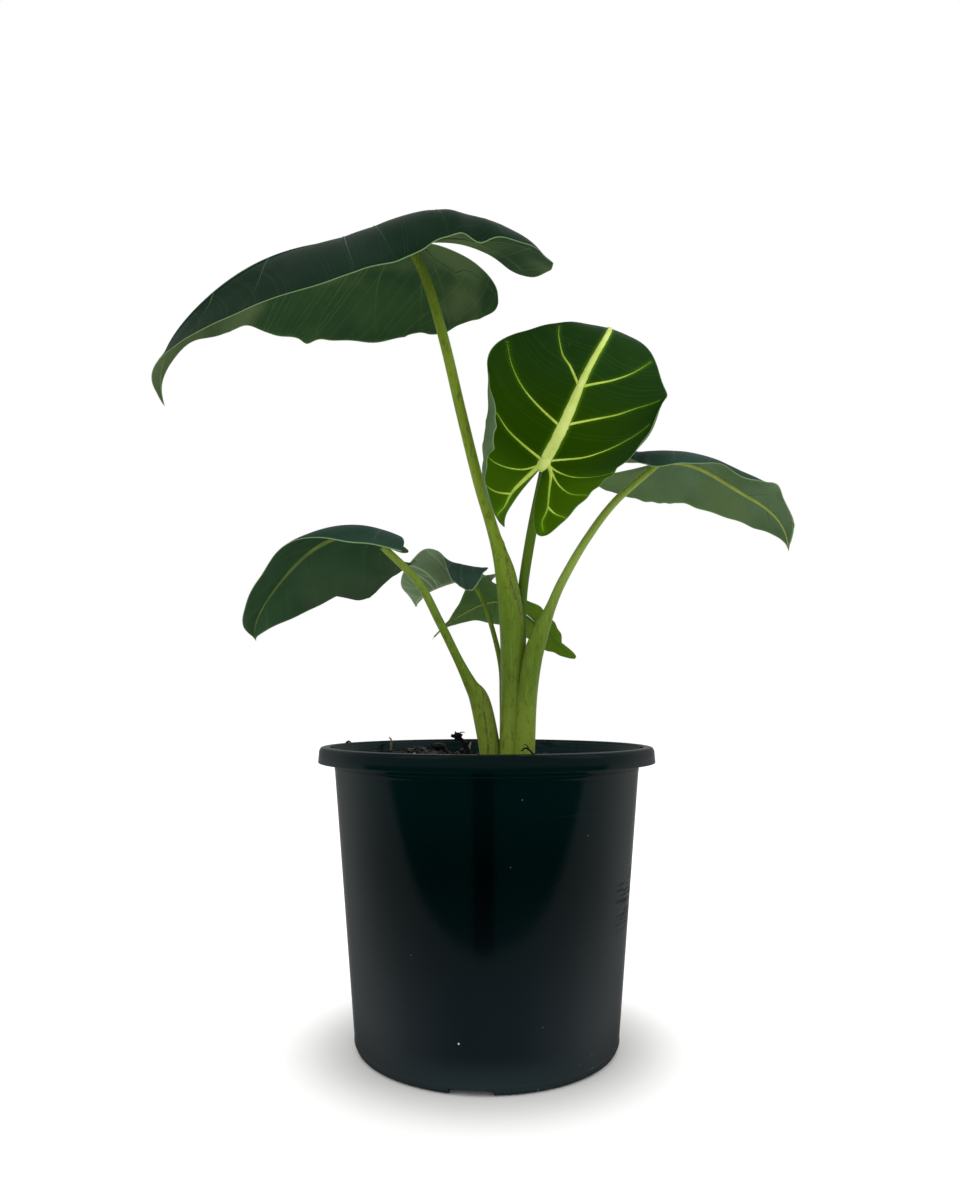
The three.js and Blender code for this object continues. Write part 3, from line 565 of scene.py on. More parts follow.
class Blade:
    """A leaf blade as a bent sheet in two halves.

    g runs from -1 at a lobe's end through 0 at the joint to 1 at the tip, and across from 0 at the midrib to
    1 at the half width. The backbone is walked from the joint in equal steps along its climb and heading. A
    point lies sideways from it along a path whose angle turns from the half's root fold to its edge fold.
    """

    def __init__(self, name):
        leaf = LEAVES[name]
        self.leaf = leaf
        self.veins = VEINS.get(name, COMMON_VEINS)
        self.waves = WAVES[name]
        self.backbones = {side: self.backbone(side) for side in (LEFT, RIGHT)}
        back, width = through(OUTLINE, np.linspace(0, 1, OUTLINE_SAMPLES + 1)).T
        width = np.maximum(width, 0) ** (1 + leaf["taper"] * np.maximum(back, 0))
        turn = round(LOBE_TIP * OUTLINE_SAMPLES)
        self.outer_line = np.maximum.accumulate(-back[:turn + 1]) * -1, width[:turn + 1]
        self.inner_line = np.maximum.accumulate(back[turn:]), width[turn:]

    def outer(self, g):
        """The margin's place across, read from the outline from the tip to the lobe's end."""
        back, width = self.outer_line
        return np.interp(g, back[::-1], width[::-1])

    def inner(self, g):
        """The lobe's inner edge across, behind the joint; in front of it the blade starts at the midrib."""
        back, width = self.inner_line
        return np.where(np.asarray(g) < 0, np.interp(g, back, width), 0)

    def reach(self, side, g):
        """The length that g is a share of: the lobe's behind the joint and the blade's in front of it."""
        return np.where(np.asarray(g) < 0, self.leaf["lobes"][side], self.leaf["length"])

    def angle(self, values, g):
        """Degrees through the five stations, as radians at g."""
        g = np.asarray(g, float)
        return np.radians(through(values, np.where(g < 0, (g + 1) / 4, 0.25 + 0.75 * g)))

    def backbone(self, side):
        """Stations, places, sideways and upward directions of this half's backbone.

        The climb and heading give the forward direction at each station. Each step adds its length times the
        mean of the forward directions at its ends, and the whole is moved so that g = 0 is at the joint.
        """
        leaf = self.leaf
        g = np.linspace(-1, 1, 2 * AXIS_STEPS + 1)
        angles = []
        for table in (leaf["climb"], leaf["heading"]):
            ahead = (2 * table["blade"][0] - table["blade"][1], *table["blade"])
            behind = (table[side], *table["blade"])
            angles.append(np.where(g < 0, self.angle(behind, g), self.angle(ahead, g)))
        climb, heading = angles
        level = np.cos(climb)
        forward = np.stack([level * np.cos(heading), level * np.sin(heading), np.sin(climb)], -1)
        sideways = np.stack([-np.sin(heading), np.cos(heading), 0 * heading], -1)
        step = np.where(g[1:] < 1e-9, leaf["lobes"][side], leaf["length"]) / AXIS_STEPS
        place = np.vstack([np.zeros(3), np.cumsum((forward[1:] + forward[:-1]) / 2 * step[:, None], 0)])
        place += np.array(leaf["joint"]) - place[AXIS_STEPS]
        return g, place, sideways, np.cross(forward, sideways)

    def point(self, side, g, across):
        """Place in millimetres of the sheet's middle at (g, across).

        A soft side is bridged over the joint: between the two places that its table names the sheet follows a
        cubic from the one to the other, in full from mid width outwards, so that its far part doesn't crease.
        """
        g, across = np.broadcast_arrays(np.asarray(g, float), np.asarray(across, float))
        place = self.sharp_point(side, g, across)
        if side != self.leaf.get("soft_side"):
            return place
        behind, ahead = self.leaf["soft_span"]
        lobe, length = self.leaf["lobes"][side], self.leaf["length"]
        span = -behind * lobe + ahead * length
        t = np.clip((g * self.reach(side, g) - behind * lobe) / span, 0, 1)[..., None]
        before, first, last, after = (self.sharp_point(side, at + 0 * g, across)
                                      for at in (behind - SLOPE_STEP, behind, ahead, ahead + SLOPE_STEP))
        pull = BRIDGE_PULL * np.linalg.norm(last - first, axis=-1, keepdims=True)
        way_in = unit(first - before) * pull
        way_out = unit(after - last) * pull
        bridge = ((2 * t ** 3 - 3 * t ** 2 + 1) * first + (t ** 3 - 2 * t ** 2 + t) * way_in
                  + (3 * t ** 2 - 2 * t ** 3) * last + (t ** 3 - t ** 2) * way_out)
        strength = smoothstep(across, BRIDGE_START, BRIDGE_FULL)
        share = np.where((g > behind) & (g < ahead), strength, 0)[..., None]
        return place + share * (bridge - place)

    def sharp_point(self, side, g, across):
        """Place of the sheet's middle without a bridge, with the margin waves on top.

        The fold at a share of the way out is root + (edge - root) * share ** bend. Its cosines add up to the
        way out from the backbone and its sines to the lift over it. The waves add an outward and an upward
        length, turned by the fold, which fade with the third power of the share of the way to the margin.
        """
        stations, place, sideways, up = self.backbones[side]
        root = self.angle(self.leaf["root"][side], g)
        turn = self.angle(self.leaf["edge"][side], g) - root
        bend = self.leaf["bend"][side]
        out, lift = 0, 0
        for step in range(FOLD_STEPS):
            fold = root + turn * ((step + 0.5) / FOLD_STEPS * across) ** bend
            out = out + np.cos(fold) * across / FOLD_STEPS
            lift = lift + np.sin(fold) * across / FOLD_STEPS
        fold = root + turn * across ** bend
        width = self.leaf["half_width"]
        rim = np.minimum(across / np.maximum(self.outer(g), NARROWEST), 1) ** 3
        outward = RIPPLE_OUTWARD[0] * np.sin(RIPPLE_OUTWARD[1] * g + side) * rim
        upward = RIPPLE_UPWARD[0] * np.sin(RIPPLE_UPWARD[1] * g + 2 * side) * rim
        for wave_side, centre, half_length, out_by, up_by in self.waves:
            if wave_side == side:
                outward = outward + out_by * bell(g, centre, half_length) * rim
                upward = upward + up_by * bell(g, centre, half_length) * rim
        out = out * width + np.cos(fold) * outward - np.sin(fold) * upward
        lift = lift * width + np.sin(fold) * outward + np.cos(fold) * upward
        beside = side * out[..., None] * read(g, stations, sideways)
        return read(g, stations, place) + beside + lift[..., None] * read(g, stations, up)

    def skin(self, side, g, across, lift):
        """Place lifted off the sheet along its normal, up for a positive lift, and the normal.

        The normal is the cross product of two short steps on the sheet, along and across.
        """
        e = NORMAL_STEP
        g, across = np.broadcast_arrays(np.asarray(g, float), np.asarray(across, float))
        ahead, behind = np.minimum(g + e, 1), np.maximum(g - e, -1)
        along = self.point(side, ahead, across) - self.point(side, behind, across)
        aside = self.point(side, g, across + e) - self.point(side, g, np.maximum(across - e, 0))
        normal = side * unit(np.cross(along, aside))
        return self.point(side, g, across) + normal * np.asarray(lift, float)[..., None], normal

    def flat(self, side, g, across):
        """The same place on the blade laid flat, in millimetres."""
        return np.stack([g * self.reach(side, g), across * self.leaf["half_width"]], -1)

    def lines(self, side):
        """This half's veins as (g, across, size), kept just inside the margin."""
        found = []
        share = np.linspace(0, 1, VEIN_STEPS)
        for kind, size in VEIN_SIZES.items():
            for places in self.veins[side][kind]:
                g, across = through(places, share).T
                found.append((g, np.minimum(across, self.outer(g) * VEIN_LIMIT), size))
        return found


def vein_distance(blade, side, g, flat, midrib_half):
    """Millimetres from each place of the flat blade to the nearest vein, shorter beside a thicker vein."""
    near = np.full(flat.shape[:-1], 1e9)
    for vein_g, vein_across, size in blade.lines(side):
        line = blade.flat(side, vein_g, vein_across)
        gap = np.linalg.norm(flat[:, :, None] - line[None, None], axis=-1).min(-1)
        near = np.minimum(near, gap / size)
    from_midrib = np.maximum(flat[..., 1] - midrib_half * (1 - g[:, None]), 0)
    return np.where(g[:, None] >= 0, np.minimum(near, from_midrib), near)


def blade_mesh(blade, quilt, midrib_half):
    """Both skins of both halves with closed edges: points, faces, which skin each face is on, and attributes.

    The skin is the sheet, sunk by quilt at the veins and moved half the thickness each way along its normal.
    The attributes are the millimetres to the margin, a number that stays the same along a fine line, the
    nearness of a vein from 0 to 1, g, and the place across with the half's sign.
    """
    lobe_share, front_share = np.linspace(0, 1, LOBE_ROWS), np.linspace(0, 1, FRONT_ROWS)
    g = np.concatenate([lobe_share ** LOBE_CROWDING - 1, (1 - (1 - front_share) ** TIP_CROWDING)[1:]])
    share = np.linspace(0, 1, COLUMNS)
    grids = {}
    for side in (LEFT, RIGHT):
        inner, outer = blade.inner(g)[:, None], blade.outer(g)[:, None]
        across = inner + (outer - inner) * share
        place, normal = blade.skin(side, g[:, None], across, np.zeros(across.shape))
        grids[side] = [across, place, normal, inner, outer]
    front = g >= 0
    seam = unit(grids[LEFT][2][:, 0] + grids[RIGHT][2][:, 0])
    for side in (LEFT, RIGHT):
        grids[side][2][front, 0] = seam[front]
    points, faces, skins = [], [], []
    table = {"edge": [], "line": [], "near_vein": [], "along": [], "aside": []}
    count = 0
    for side, (across, place, normal, inner, outer) in grids.items():
        width = blade.leaf["half_width"]
        to_edge = (outer - across) * width
        to_edge = np.where(g[:, None] < 0, np.minimum(to_edge, (across - inner) * width), to_edge)
        flat = blade.flat(side, g[:, None] + 0 * across, across)
        near = vein_distance(blade, side, g, flat, midrib_half)
        place = place - (quilt * bell(near, 0, QUILT_REACH))[..., None] * normal
        line = flat[..., 0] - LINE_SWEEP * blade.leaf["length"] * across ** 2
        thickness = MARGIN_THICKNESS + (1 - MARGIN_THICKNESS) * smoothstep(to_edge, 0, THINNING_BAND)
        half_thickness = (HALF_THICKNESS * thickness)[..., None] * normal
        values = {"edge": to_edge, "line": line, "near_vein": np.exp(-near / GLOW_REACH),
                  "along": g[:, None] + 0 * across, "aside": side * across}
        for sign in (UPPER, LOWER):
            points.append((place + sign * half_thickness).reshape(-1, 3))
            quads = grid_faces(len(g), COLUMNS, count, flip=(side == RIGHT) != (sign == UPPER))
            faces.append(quads)
            skins.append(np.full(len(quads), 0 if sign == UPPER else 1))
            for key, value in values.items():
                table[key].append(value.ravel())
            count += across.size
        upper, lower = count - 2 * across.size, count - across.size
        i = np.arange(len(g) - 1)
        for column, keep in ((COLUMNS - 1, i >= 0), (0, i < LOBE_ROWS - 1)):
            k = i[keep] * COLUMNS + column
            strip = np.stack([upper + k, upper + k + COLUMNS, lower + k + COLUMNS, lower + k], -1)
            faces.append(strip[:, ::-1] if (side == RIGHT) != (column == 0) else strip)
            skins.append(np.zeros(len(strip)))
    attributes = {key: np.concatenate(values) for key, values in table.items()}
    return np.concatenate(points), faces, np.concatenate(skins), attributes


def rib_mesh(blade, side, g, across, width, height, sign, quilt):
    """A raised vein on one skin: a lens-shaped section carried along a line of the flat blade."""
    line = blade.flat(side, g, across)
    way = unit(np.gradient(line, axis=0))
    beside = np.stack([-way[:, 1], way[:, 0]], -1)
    offsets, lifts = VEIN_SECTION.T
    flat = line[:, None] + beside[:, None] * offsets[:, None] * width[:, None, None]
    new_g = np.clip(flat[..., 0] / blade.reach(side, g)[:, None], -1, 1)
    new_across = np.maximum(flat[..., 1] / blade.leaf["half_width"], 0)
    lift = HALF_THICKNESS + height[:, None] * lifts - sign * quilt
    place, _ = blade.skin(side, new_g, new_across, sign * lift)
    return place.reshape(-1, 3), tube_faces(len(g), len(offsets), flip=(side == RIGHT) == (sign == UPPER))


def midrib_mesh(blade, widths, heights, sign):
    """The midrib on one skin: a low crown over both halves, widest at the joint.

    Its width starts as a quarter circle in the first part of its length and then follows widths, with a
    little noise. Each half of its section is a quarter of an ellipse, and a line inside the skin closes it.
    """
    g = MIDRIB_END * np.linspace(0, 1, MIDRIB_STEPS) ** MIDRIB_CROWDING
    start = np.sqrt(1 - (1 - np.minimum(g / MIDRIB_START, 1)) ** 2 * 0.97)
    width = through(widths, g / MIDRIB_END) * start
    width = width * (1 + MIDRIB_NOISE * noise_along(g * blade.leaf["length"], MIDRIB_NOISE_SCALE, 4))
    height = through(heights, g / MIDRIB_END)
    share = np.linspace(0, 1, MIDRIB_COLUMNS)
    crown = np.sqrt(np.maximum(1 - share ** 2, 0)) * 1.1 - 0.1
    halves = []
    for side in (RIGHT, LEFT):
        across = share * (width / 2 / blade.leaf["half_width"])[:, None]
        lift = sign * (HALF_THICKNESS + height[:, None] * crown)
        halves.append(blade.skin(side, g[:, None], across, lift)[0])
    right, left = halves
    middle = (right[:, :1] + left[:, :1]) / 2
    under, _ = blade.skin(LEFT, g, 0 * g, np.zeros(len(g)))
    ring = np.concatenate([right[:, :0:-1], middle, left[:, 1:], under[:, None]], 1)
    return ring.reshape(-1, 3), tube_faces(len(g), ring.shape[1], flip=sign == UPPER)


def hub_mesh(blade, quilt, radius, height):
    """A low pad over the joint, where the midrib and the ribs of the lobes meet: a squashed ball."""
    normal = unit(sum(blade.skin(side, 0.004, 0.004, 0.0)[1] for side in (LEFT, RIGHT)))
    _, place, _, _ = blade.backbones[LEFT]
    joint = place[AXIS_STEPS]
    forward = unit(place[AXIS_STEPS + 1] - joint)
    beside = unit(np.cross(normal, forward))
    centre = joint + normal * (HALF_THICKNESS - quilt) - forward * HUB_SETBACK * radius
    tilt = np.linspace(0, math.pi, HUB_RINGS)[:, None]
    turn = around(HUB_SIDES)
    flat = radius * np.sin(tilt)
    points = (centre + (flat * np.cos(turn))[..., None] * forward * HUB_STRETCH
              + (flat * np.sin(turn))[..., None] * beside
              + (height * np.cos(tilt) + 0 * turn)[..., None] * normal)
    return points.reshape(-1, 3), [grid_faces(HUB_RINGS, HUB_SIDES, close_columns=True)]


def build_blade(name):
    """A whole blade piece: skins, midrib and veins above and below, and a hub or scars where it has them."""
    blade = Blade(name)
    look = BLADES[name]
    quilt = look["quilt"]
    points, faces, skins, table = blade_mesh(blade, quilt, look["midrib"][UPPER][0][0] / 2)
    blocks, materials, reaches = [points], [skins], [np.zeros(len(points))]
    count = len(points)

    def add(block, block_faces, material, reach=0):
        nonlocal count
        blocks.append(block)
        reaches.append(reach + np.zeros(len(block)))
        for part in block_faces:
            faces.append(part + count)
            materials.append(np.full(len(part), material))
        count += len(block)

    share = np.linspace(0, 1, VEIN_STEPS)
    fade = VEIN_END_SIZE + (1 - VEIN_END_SIZE) * np.linspace(1, 0, VEIN_STEPS) ** VEIN_TAPER
    for sign, midrib_material, vein_material in ((UPPER, 2, 4), (LOWER, 3, 5)):
        add(*midrib_mesh(blade, *look["midrib"][sign], sign), midrib_material)
        for side in (LEFT, RIGHT):
            for g, across, size in blade.lines(side):
                width, height = (measure * size * fade for measure in look["vein"][sign])
                rib = rib_mesh(blade, side, g, across, width, height, sign, quilt)
                add(*rib, vein_material, np.repeat(share, len(VEIN_SECTION)))
    for places in look.get("scars", ()):
        g, across = through(places, np.linspace(0, 1, SCAR_STEPS)).T
        width, height = np.full(SCAR_STEPS, SCAR_WIDTH), np.full(SCAR_STEPS, SCAR_HEIGHT)
        add(*rib_mesh(blade, LEFT, g, across, width, height, UPPER, quilt), 3)
    if "hub" in look:
        add(*hub_mesh(blade, quilt, *look["hub"]), 2)
    padding = np.zeros(count - len(points))
    attributes = {key: np.concatenate([values, padding]) for key, values in table.items()}
    attributes["reach"] = np.concatenate(reaches)
    finishes = [FINISHES[finish] for finish in look["finishes"]]
    piece = new_piece(f"{name}_leaf_blade", np.concatenate(blocks) * MM, faces, finishes,
                      np.concatenate(materials), attributes, weld=2e-6)
    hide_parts(f"blade_{name}")


SKINS = {
    "velvet_upper": dict(
        dark=(36, 58, 47), light=(46, 70, 58), margin=(136, 162, 112), glow=(58, 84, 64), glow_share=0.5,
        through=0.03, patch=(50, 68, 62), fine_tint=(54, 78, 62)),
    # A darker copy of velvet_upper: painted shade that offsets the light and sheen the tall blade's upper
    # side catches
    "velvet_upper_tall_painted_shade": dict(
        dark=(17, 36, 22), light=(24, 44, 29), margin=(136, 162, 112), glow=(44, 66, 44), glow_share=0.5,
        through=0.03, patch=(27, 44, 34), fine_tint=(36, 56, 38)),
    "satin_under_olive": dict(
        dark=(38, 62, 38), light=(50, 76, 44), margin=(112, 140, 88), glow=(76, 100, 56), glow_share=0.4,
        through=0.08, patch=(82, 100, 64), fine_tint=(76, 100, 62)),
    "satin_under_deep": dict(
        dark=(41, 66, 43), light=(49, 75, 49), margin=(96, 124, 84), glow=(70, 92, 54), glow_share=0.4,
        through=0.08, patch=(58, 78, 54), fine_share=0.25),
    "satin_under_grey": dict(
        dark=(72, 96, 64), light=(90, 114, 84), margin=(140, 160, 122), glow=(100, 122, 74), glow_share=0.35,
        through=0.08, patch=(90, 112, 70), fine_share=0.25),
    "satin_under_pale": dict(
        dark=(100, 122, 90), light=(124, 144, 112), margin=(142, 164, 128), glow=(134, 156, 118),
        glow_share=0.6, through=0.08, fine_tint=(152, 172, 136), fine_share=0.8),
    # The rear blade's underside, painted brighter as if lit through, with a painted backlight on its lobe
    "satin_under_rear_painted_backlight": dict(
        dark=(88, 118, 70), light=(100, 132, 74), margin=(118, 148, 90), glow=(108, 138, 66), glow_share=0.4,
        through=0.25, through_tint=(120, 170, 30), lobe=(128, 166, 22)),
    # The upright blade's upper side with painted backlight: greens of light shining through it
    "velvet_lit": dict(
        dark=(27, 55, 19), light=(34, 63, 25), margin=(100, 134, 84), glow=(98, 146, 10), glow_share=0.75,
        through=0.03, fine_tint=(50, 82, 22), lit=(36, 65, 0), lobe=(60, 94, 5)),
    # The rear blade's upper side, painted brighter with backlight, and a painted backlight on its lobe
    "velvet_rear_painted_backlight": dict(
        dark=(76, 114, 36), light=(96, 136, 42), margin=(118, 148, 90), glow=(108, 142, 34), glow_share=0.4,
        through=0.25, through_tint=(120, 170, 30), lobe=(138, 176, 26)),
}
RIBS = {
    "midrib_pale": dict(tint=(192, 211, 106), pale=(211, 227, 130)),
    "vein_pale": dict(tint=(170, 198, 70), pale=(198, 218, 100), far=(104, 148, 30)),
    "vein_on_velvet": dict(tint=(48, 74, 56), pale=(64, 92, 68)),
    "vein_on_velvet_tall": dict(tint=(42, 66, 48), pale=(56, 82, 58), far=(26, 46, 32)),
    "midrib_under": dict(tint=(128, 142, 64), pale=(150, 164, 84)),
    "midrib_under_olive": dict(tint=(82, 100, 50), pale=(98, 116, 58)),
    "vein_under_grey": dict(tint=(72, 94, 62), pale=(84, 106, 74)),
    "vein_under_deep": dict(tint=(42, 64, 40), pale=(52, 76, 48)),
    "vein_under_olive": dict(tint=(56, 80, 44), pale=(68, 92, 54)),
    "vein_under_pale": dict(tint=(128, 148, 106), pale=(142, 160, 118)),
}
FINISHES = {name: blade_finish(name, **tints) for name, tints in SKINS.items()}
FINISHES.update({name: vein_finish(name, **tints) for name, tints in RIBS.items()})

# Each blade's look. finishes are the skins, the midrib and the veins, each above and then below. midrib gives
# widths and heights from the joint to the tip, and vein the width and height of a side vein at its root.
# quilt is how deep the skin sinks at the veins, hub a radius and height, and scars are short raised lines
# above.
SMALL_MIDRIB = {UPPER: ([2, 1.4, 0.8], [0.2, 0.15, 0.1]), LOWER: ([2.2, 1.6, 1], [0.9, 0.7, 0.4])}
BLADES = {
    "tall": dict(
        finishes=("velvet_upper_tall_painted_shade", "satin_under_olive", "vein_on_velvet", "midrib_under_olive",
                  "vein_on_velvet_tall", "vein_under_olive"),
        midrib={UPPER: ([4.5, 3.4, 2.4, 1.4], [0.3, 0.25, 0.2, 0.1]),
                LOWER: ([5.5, 4, 3, 1.5], [2.4, 1.8, 1.1, 0.5])},
        vein={UPPER: (1.2, 0.5), LOWER: (1.9, 0.5)}, quilt=0.35),
    "upright": dict(
        finishes=("velvet_lit", "satin_under_grey", "midrib_pale", "midrib_under_olive", "vein_pale",
                  "vein_under_olive"),
        midrib={UPPER: ([8.8, 7.2, 4.6, 3.2, 2.2, 1.2], [0.8, 0.6, 0.4, 0.3, 0.2]),
                LOWER: ([6, 5, 4, 2.4, 1.4], [2.2, 1.8, 1.2, 0.8, 0.4])},
        vein={UPPER: (2.2, 0.4), LOWER: (1.6, 0.5)}, quilt=0.4, hub=(4.8, 2.4),
        scars=[[(0.545, 0.34), (0.52, 0.325), (0.5, 0.31)], [(0.5, 0.31), (0.475, 0.305), (0.455, 0.3)],
               [(0.5, 0.31), (0.515, 0.29), (0.53, 0.285)]]),
    "right": dict(
        finishes=("velvet_upper", "satin_under_grey", "vein_on_velvet", "midrib_under", "vein_on_velvet",
                  "vein_under_grey"),
        midrib={UPPER: ([3, 2.2, 1.4], [0.3, 0.2, 0.1]),
                LOWER: ([4.5, 4.2, 3.4, 2, 1.2], [1.6, 1.4, 1.1, 0.8, 0.4])},
        vein={UPPER: (1, 0.12), LOWER: (1, 0.12)}, quilt=0.2),
    "left": dict(
        finishes=("velvet_upper", "satin_under_deep", "vein_on_velvet", "midrib_under_olive",
                  "vein_on_velvet", "vein_under_deep"),
        midrib={UPPER: ([3, 2.2, 1.4], [0.3, 0.2, 0.1]),
                LOWER: ([5, 4.6, 3.4, 2, 1.2], [1.6, 1.4, 1.1, 0.8, 0.4])},
        vein={UPPER: (1, 0.12), LOWER: (1, 0.15)}, quilt=0.2),
    "small": dict(
        finishes=("velvet_upper", "satin_under_pale", "vein_on_velvet", "vein_under_pale", "vein_on_velvet",
                  "vein_under_pale"),
        midrib=SMALL_MIDRIB, vein={UPPER: (0.7, 0.1), LOWER: (0.8, 0.2)}, quilt=0.15),
    "rear": dict(
        finishes=("velvet_rear_painted_backlight", "satin_under_rear_painted_backlight", "vein_on_velvet", "midrib_under", "vein_on_velvet",
                  "vein_under_olive"),
        midrib=SMALL_MIDRIB, vein={UPPER: (0.7, 0.1), LOWER: (0.8, 0.15)}, quilt=0.15),
}
for leaf_name in BLADES:
    build_blade(leaf_name)

# Stalks: places with a radius, from the rootstock up. Each ends under its blade's midrib, the share attach of
# the length in front of the joint, with tip as its radius. sheath gives its side (1 right, -1 left), its top
# height, the length of its open margin below that, and where the margin's line runs on the way down, in
# degrees round from the front. shade is painted shade that darkens the whole stalk, and pale is a painted
# highlight that lightens its upper part.
STALKS = {
    "upright": dict(attach=0, tip=2.9, sheath=None, shade=0.8, places=[
        (20, 6, 152, 4.8), (20.8, 6, 173, 4.5), (21.6, 6, 206, 4.2), (22.2, 6, 244, 3.7), (23.8, 5, 277, 3.3),
        (29.9, 0, 316, 3.3)]),
    "tall": dict(attach=0.045, tip=3.1, sheath=(1, 309, 78, (88, 20, 20, 40, 64, 80)), places=[
        (14.8, -1, 152, 7.2), (15.6, -1, 173, 7.4), (16.8, -1, 206, 7.6), (16.8, -1, 237, 7.8),
        (15.9, -1, 262, 7.9), (12.6, -2, 285, 6.7), (7.8, -3, 303, 4.6), (2.6, -4, 321, 3.8),
        (-5.4, -6, 348, 3.6), (-16.5, -9, 393, 3.5), (-27.8, -13, 441, 3.4), (-39.2, -19, 479, 3.2)]),
    "right": dict(attach=0, tip=2.4, pale=0.3, sheath=(-1, 258, 52, (88, 62, 58, 60, 68, 78)), places=[
        (23, -7, 152, 6.4), (23.8, -7, 173, 6.5), (25.6, -7, 206, 6.3), (28.9, -7, 230, 6.2),
        (34.1, -7, 247, 5.3), (41.3, -7, 265, 3.3), (49, -8, 282, 2.9), (64.3, -8, 308, 2.6),
        (83.8, -7, 333.6, 2.5)]),
    "left": dict(attach=0, tip=2.3, pale=0.15, sheath=(1, 215, 55, (80, 12, 4, -4, -12, -16)), places=[
        (3, 3, 152, 6.5), (2.2, 3, 173, 6.8), (-0.3, 2, 188, 6.8), (-4.8, 0, 206, 6.1), (-10.3, -3, 216, 4.2),
        (-17.9, -8, 231, 2.9), (-29.7, -17, 255, 2.7), (-42.3, -26, 278, 2.5)]),
    "small": dict(attach=0, tip=1.3, sheath=None, places=[
        (11, 11, 152, 3), (11.3, 12, 172, 2.9), (10.8, 13, 206, 2.3), (8.9, 14, 232, 1.8),
        (-0.9, 16, 268, 1.5)]),
    "rear": dict(attach=0, tip=1.7, sheath=None, places=[
        (20, 16, 152, 3), (20.6, 17, 172, 2.9), (21.5, 20, 206, 2.4), (21.9, 26, 239, 2)]),
}
STALK_SIDES = 120
STALK_STEPS = 24

# How far a stalk ends below the midrib, in mm
STALK_DEPTH = 0.6

# The sheath's section, as shares of the radius and in radians: the lip, the dent beside it with the turns
# where it fades out, its fine ribs, and the hood with the mm below the top where it fades out
LIP_HEIGHT, LIP_WIDTH, LIP_WOBBLE = 0.07, 0.07, 0.03
DENT_DEPTH, DENT_START, DENT_FADE = 0.035, 0.2, (2.4, 1.9)
RIB_HEIGHT, RIBS_ROUND = 0.012, 34
HOOD_HEIGHT, HOOD_TURN, HOOD_WIDTH, HOOD_FADE = 0.1, 1.35, 0.5, (40, 8)

# How the sheath fades in, in mm below its top, and out, in lengths of its open margin
SHEATH_TOP, SHEATH_FOOT = (-2, 5), (1.5, 0.7)


def stalk_finish():
    """Waxy yellow-green skin: fine lengthwise lines, brown mottling and a brown dotted edge on the sheath,
    with painted shade and painted highlights on some stalks.
    """
    f = Finish("waxy_stalk", IOR=1.2)
    lines = f.noise(900, 2, (1, 1, 0.04))
    spots = f.noise(420, 3, (1, 1, 0.35), 0.65)
    clouds = f.noise(45, 2, (1, 1, 0.3))
    flecks = f.noise(950, 2, (1, 1, 1.3))
    dots = f.noise(800, 1, (1, 1, 0.6))
    height = f.attribute("height")
    film = f.mix(spots.ramp(0.46, 0.62), (112, 124, 56), (88, 84, 38))
    f.paint(f.mix(clouds.ramp(0.3, 0.7), (104, 130, 28), (124, 148, 40)), [
        (height.ramp(400, 490) * 0.8, (82, 100, 30)),
        (height.ramp(310, 260) * 0.75, (80, 108, 26)),
        (height.ramp(225, 180) * 0.7, (140, 162, 58)),
        (lines.ramp(0.5, 0.75) * 0.28, (146, 166, 80)),
        (spots.ramp(0.52, 0.7) * 0.6, (74, 84, 24)),
        (flecks.ramp(0.6, 0.7) * height.ramp(330, 260) * 0.7, (88, 76, 32)),
        # Painted shade by the shade mark, then a painted highlight on the upper part by the pale mark
        (f.attribute("shade"), (62, 92, 10)),
        (f.attribute("pale") * height.ramp(235, 300), (168, 188, 104)),
        (f.attribute("membrane") * 0.6, film),
        (f.attribute("border") * dots.ramp(0.4, 0.55) * 0.8, (72, 52, 26))])
    f.feed("Roughness", 0.4 + spots * 0.15)
    f.bump(lines * 0.6 + spots * 0.6, 0.0003, 0.5)
    f.let_light_through((130, 170, 40), 0.06)
    return f.material


def sheath_profile(sheath, height, angle):
    """The sheath's radius as a share of the stalk's, the membrane from 0 to 1, and the membrane's border.

    The lip is a ridge along the table's line of angles. Beyond it the membrane lies in a shallow dent with
    fine ribs, and a hood bulges below the top. All of it fades in at the top and out below the open margin.
    """
    side, top, open_length, line_angles = sheath
    below = top - height
    line = np.radians(through(line_angles, np.clip(below / open_length, 0, 1)))
    foot = [open_length * share for share in SHEATH_FOOT]
    fading = smoothstep(below, *SHEATH_TOP) * smoothstep(below, *foot)
    turn = side * angle
    lip = bell(turn, line + LIP_WOBBLE * noise_along(height, 3, 6), LIP_WIDTH) * fading
    beyond = smoothstep(turn, line, line + DENT_START) * smoothstep(turn, *DENT_FADE) * fading
    hood = smoothstep(below, -1, 5) * smoothstep(below, *HOOD_FADE) * bell(turn, HOOD_TURN, HOOD_WIDTH)
    profile = (1 + LIP_HEIGHT * lip - DENT_DEPTH * beyond + HOOD_HEIGHT * hood
               + RIB_HEIGHT * beyond * np.sin(turn * RIBS_ROUND))
    return profile, np.maximum(beyond * 0.55, lip), lip


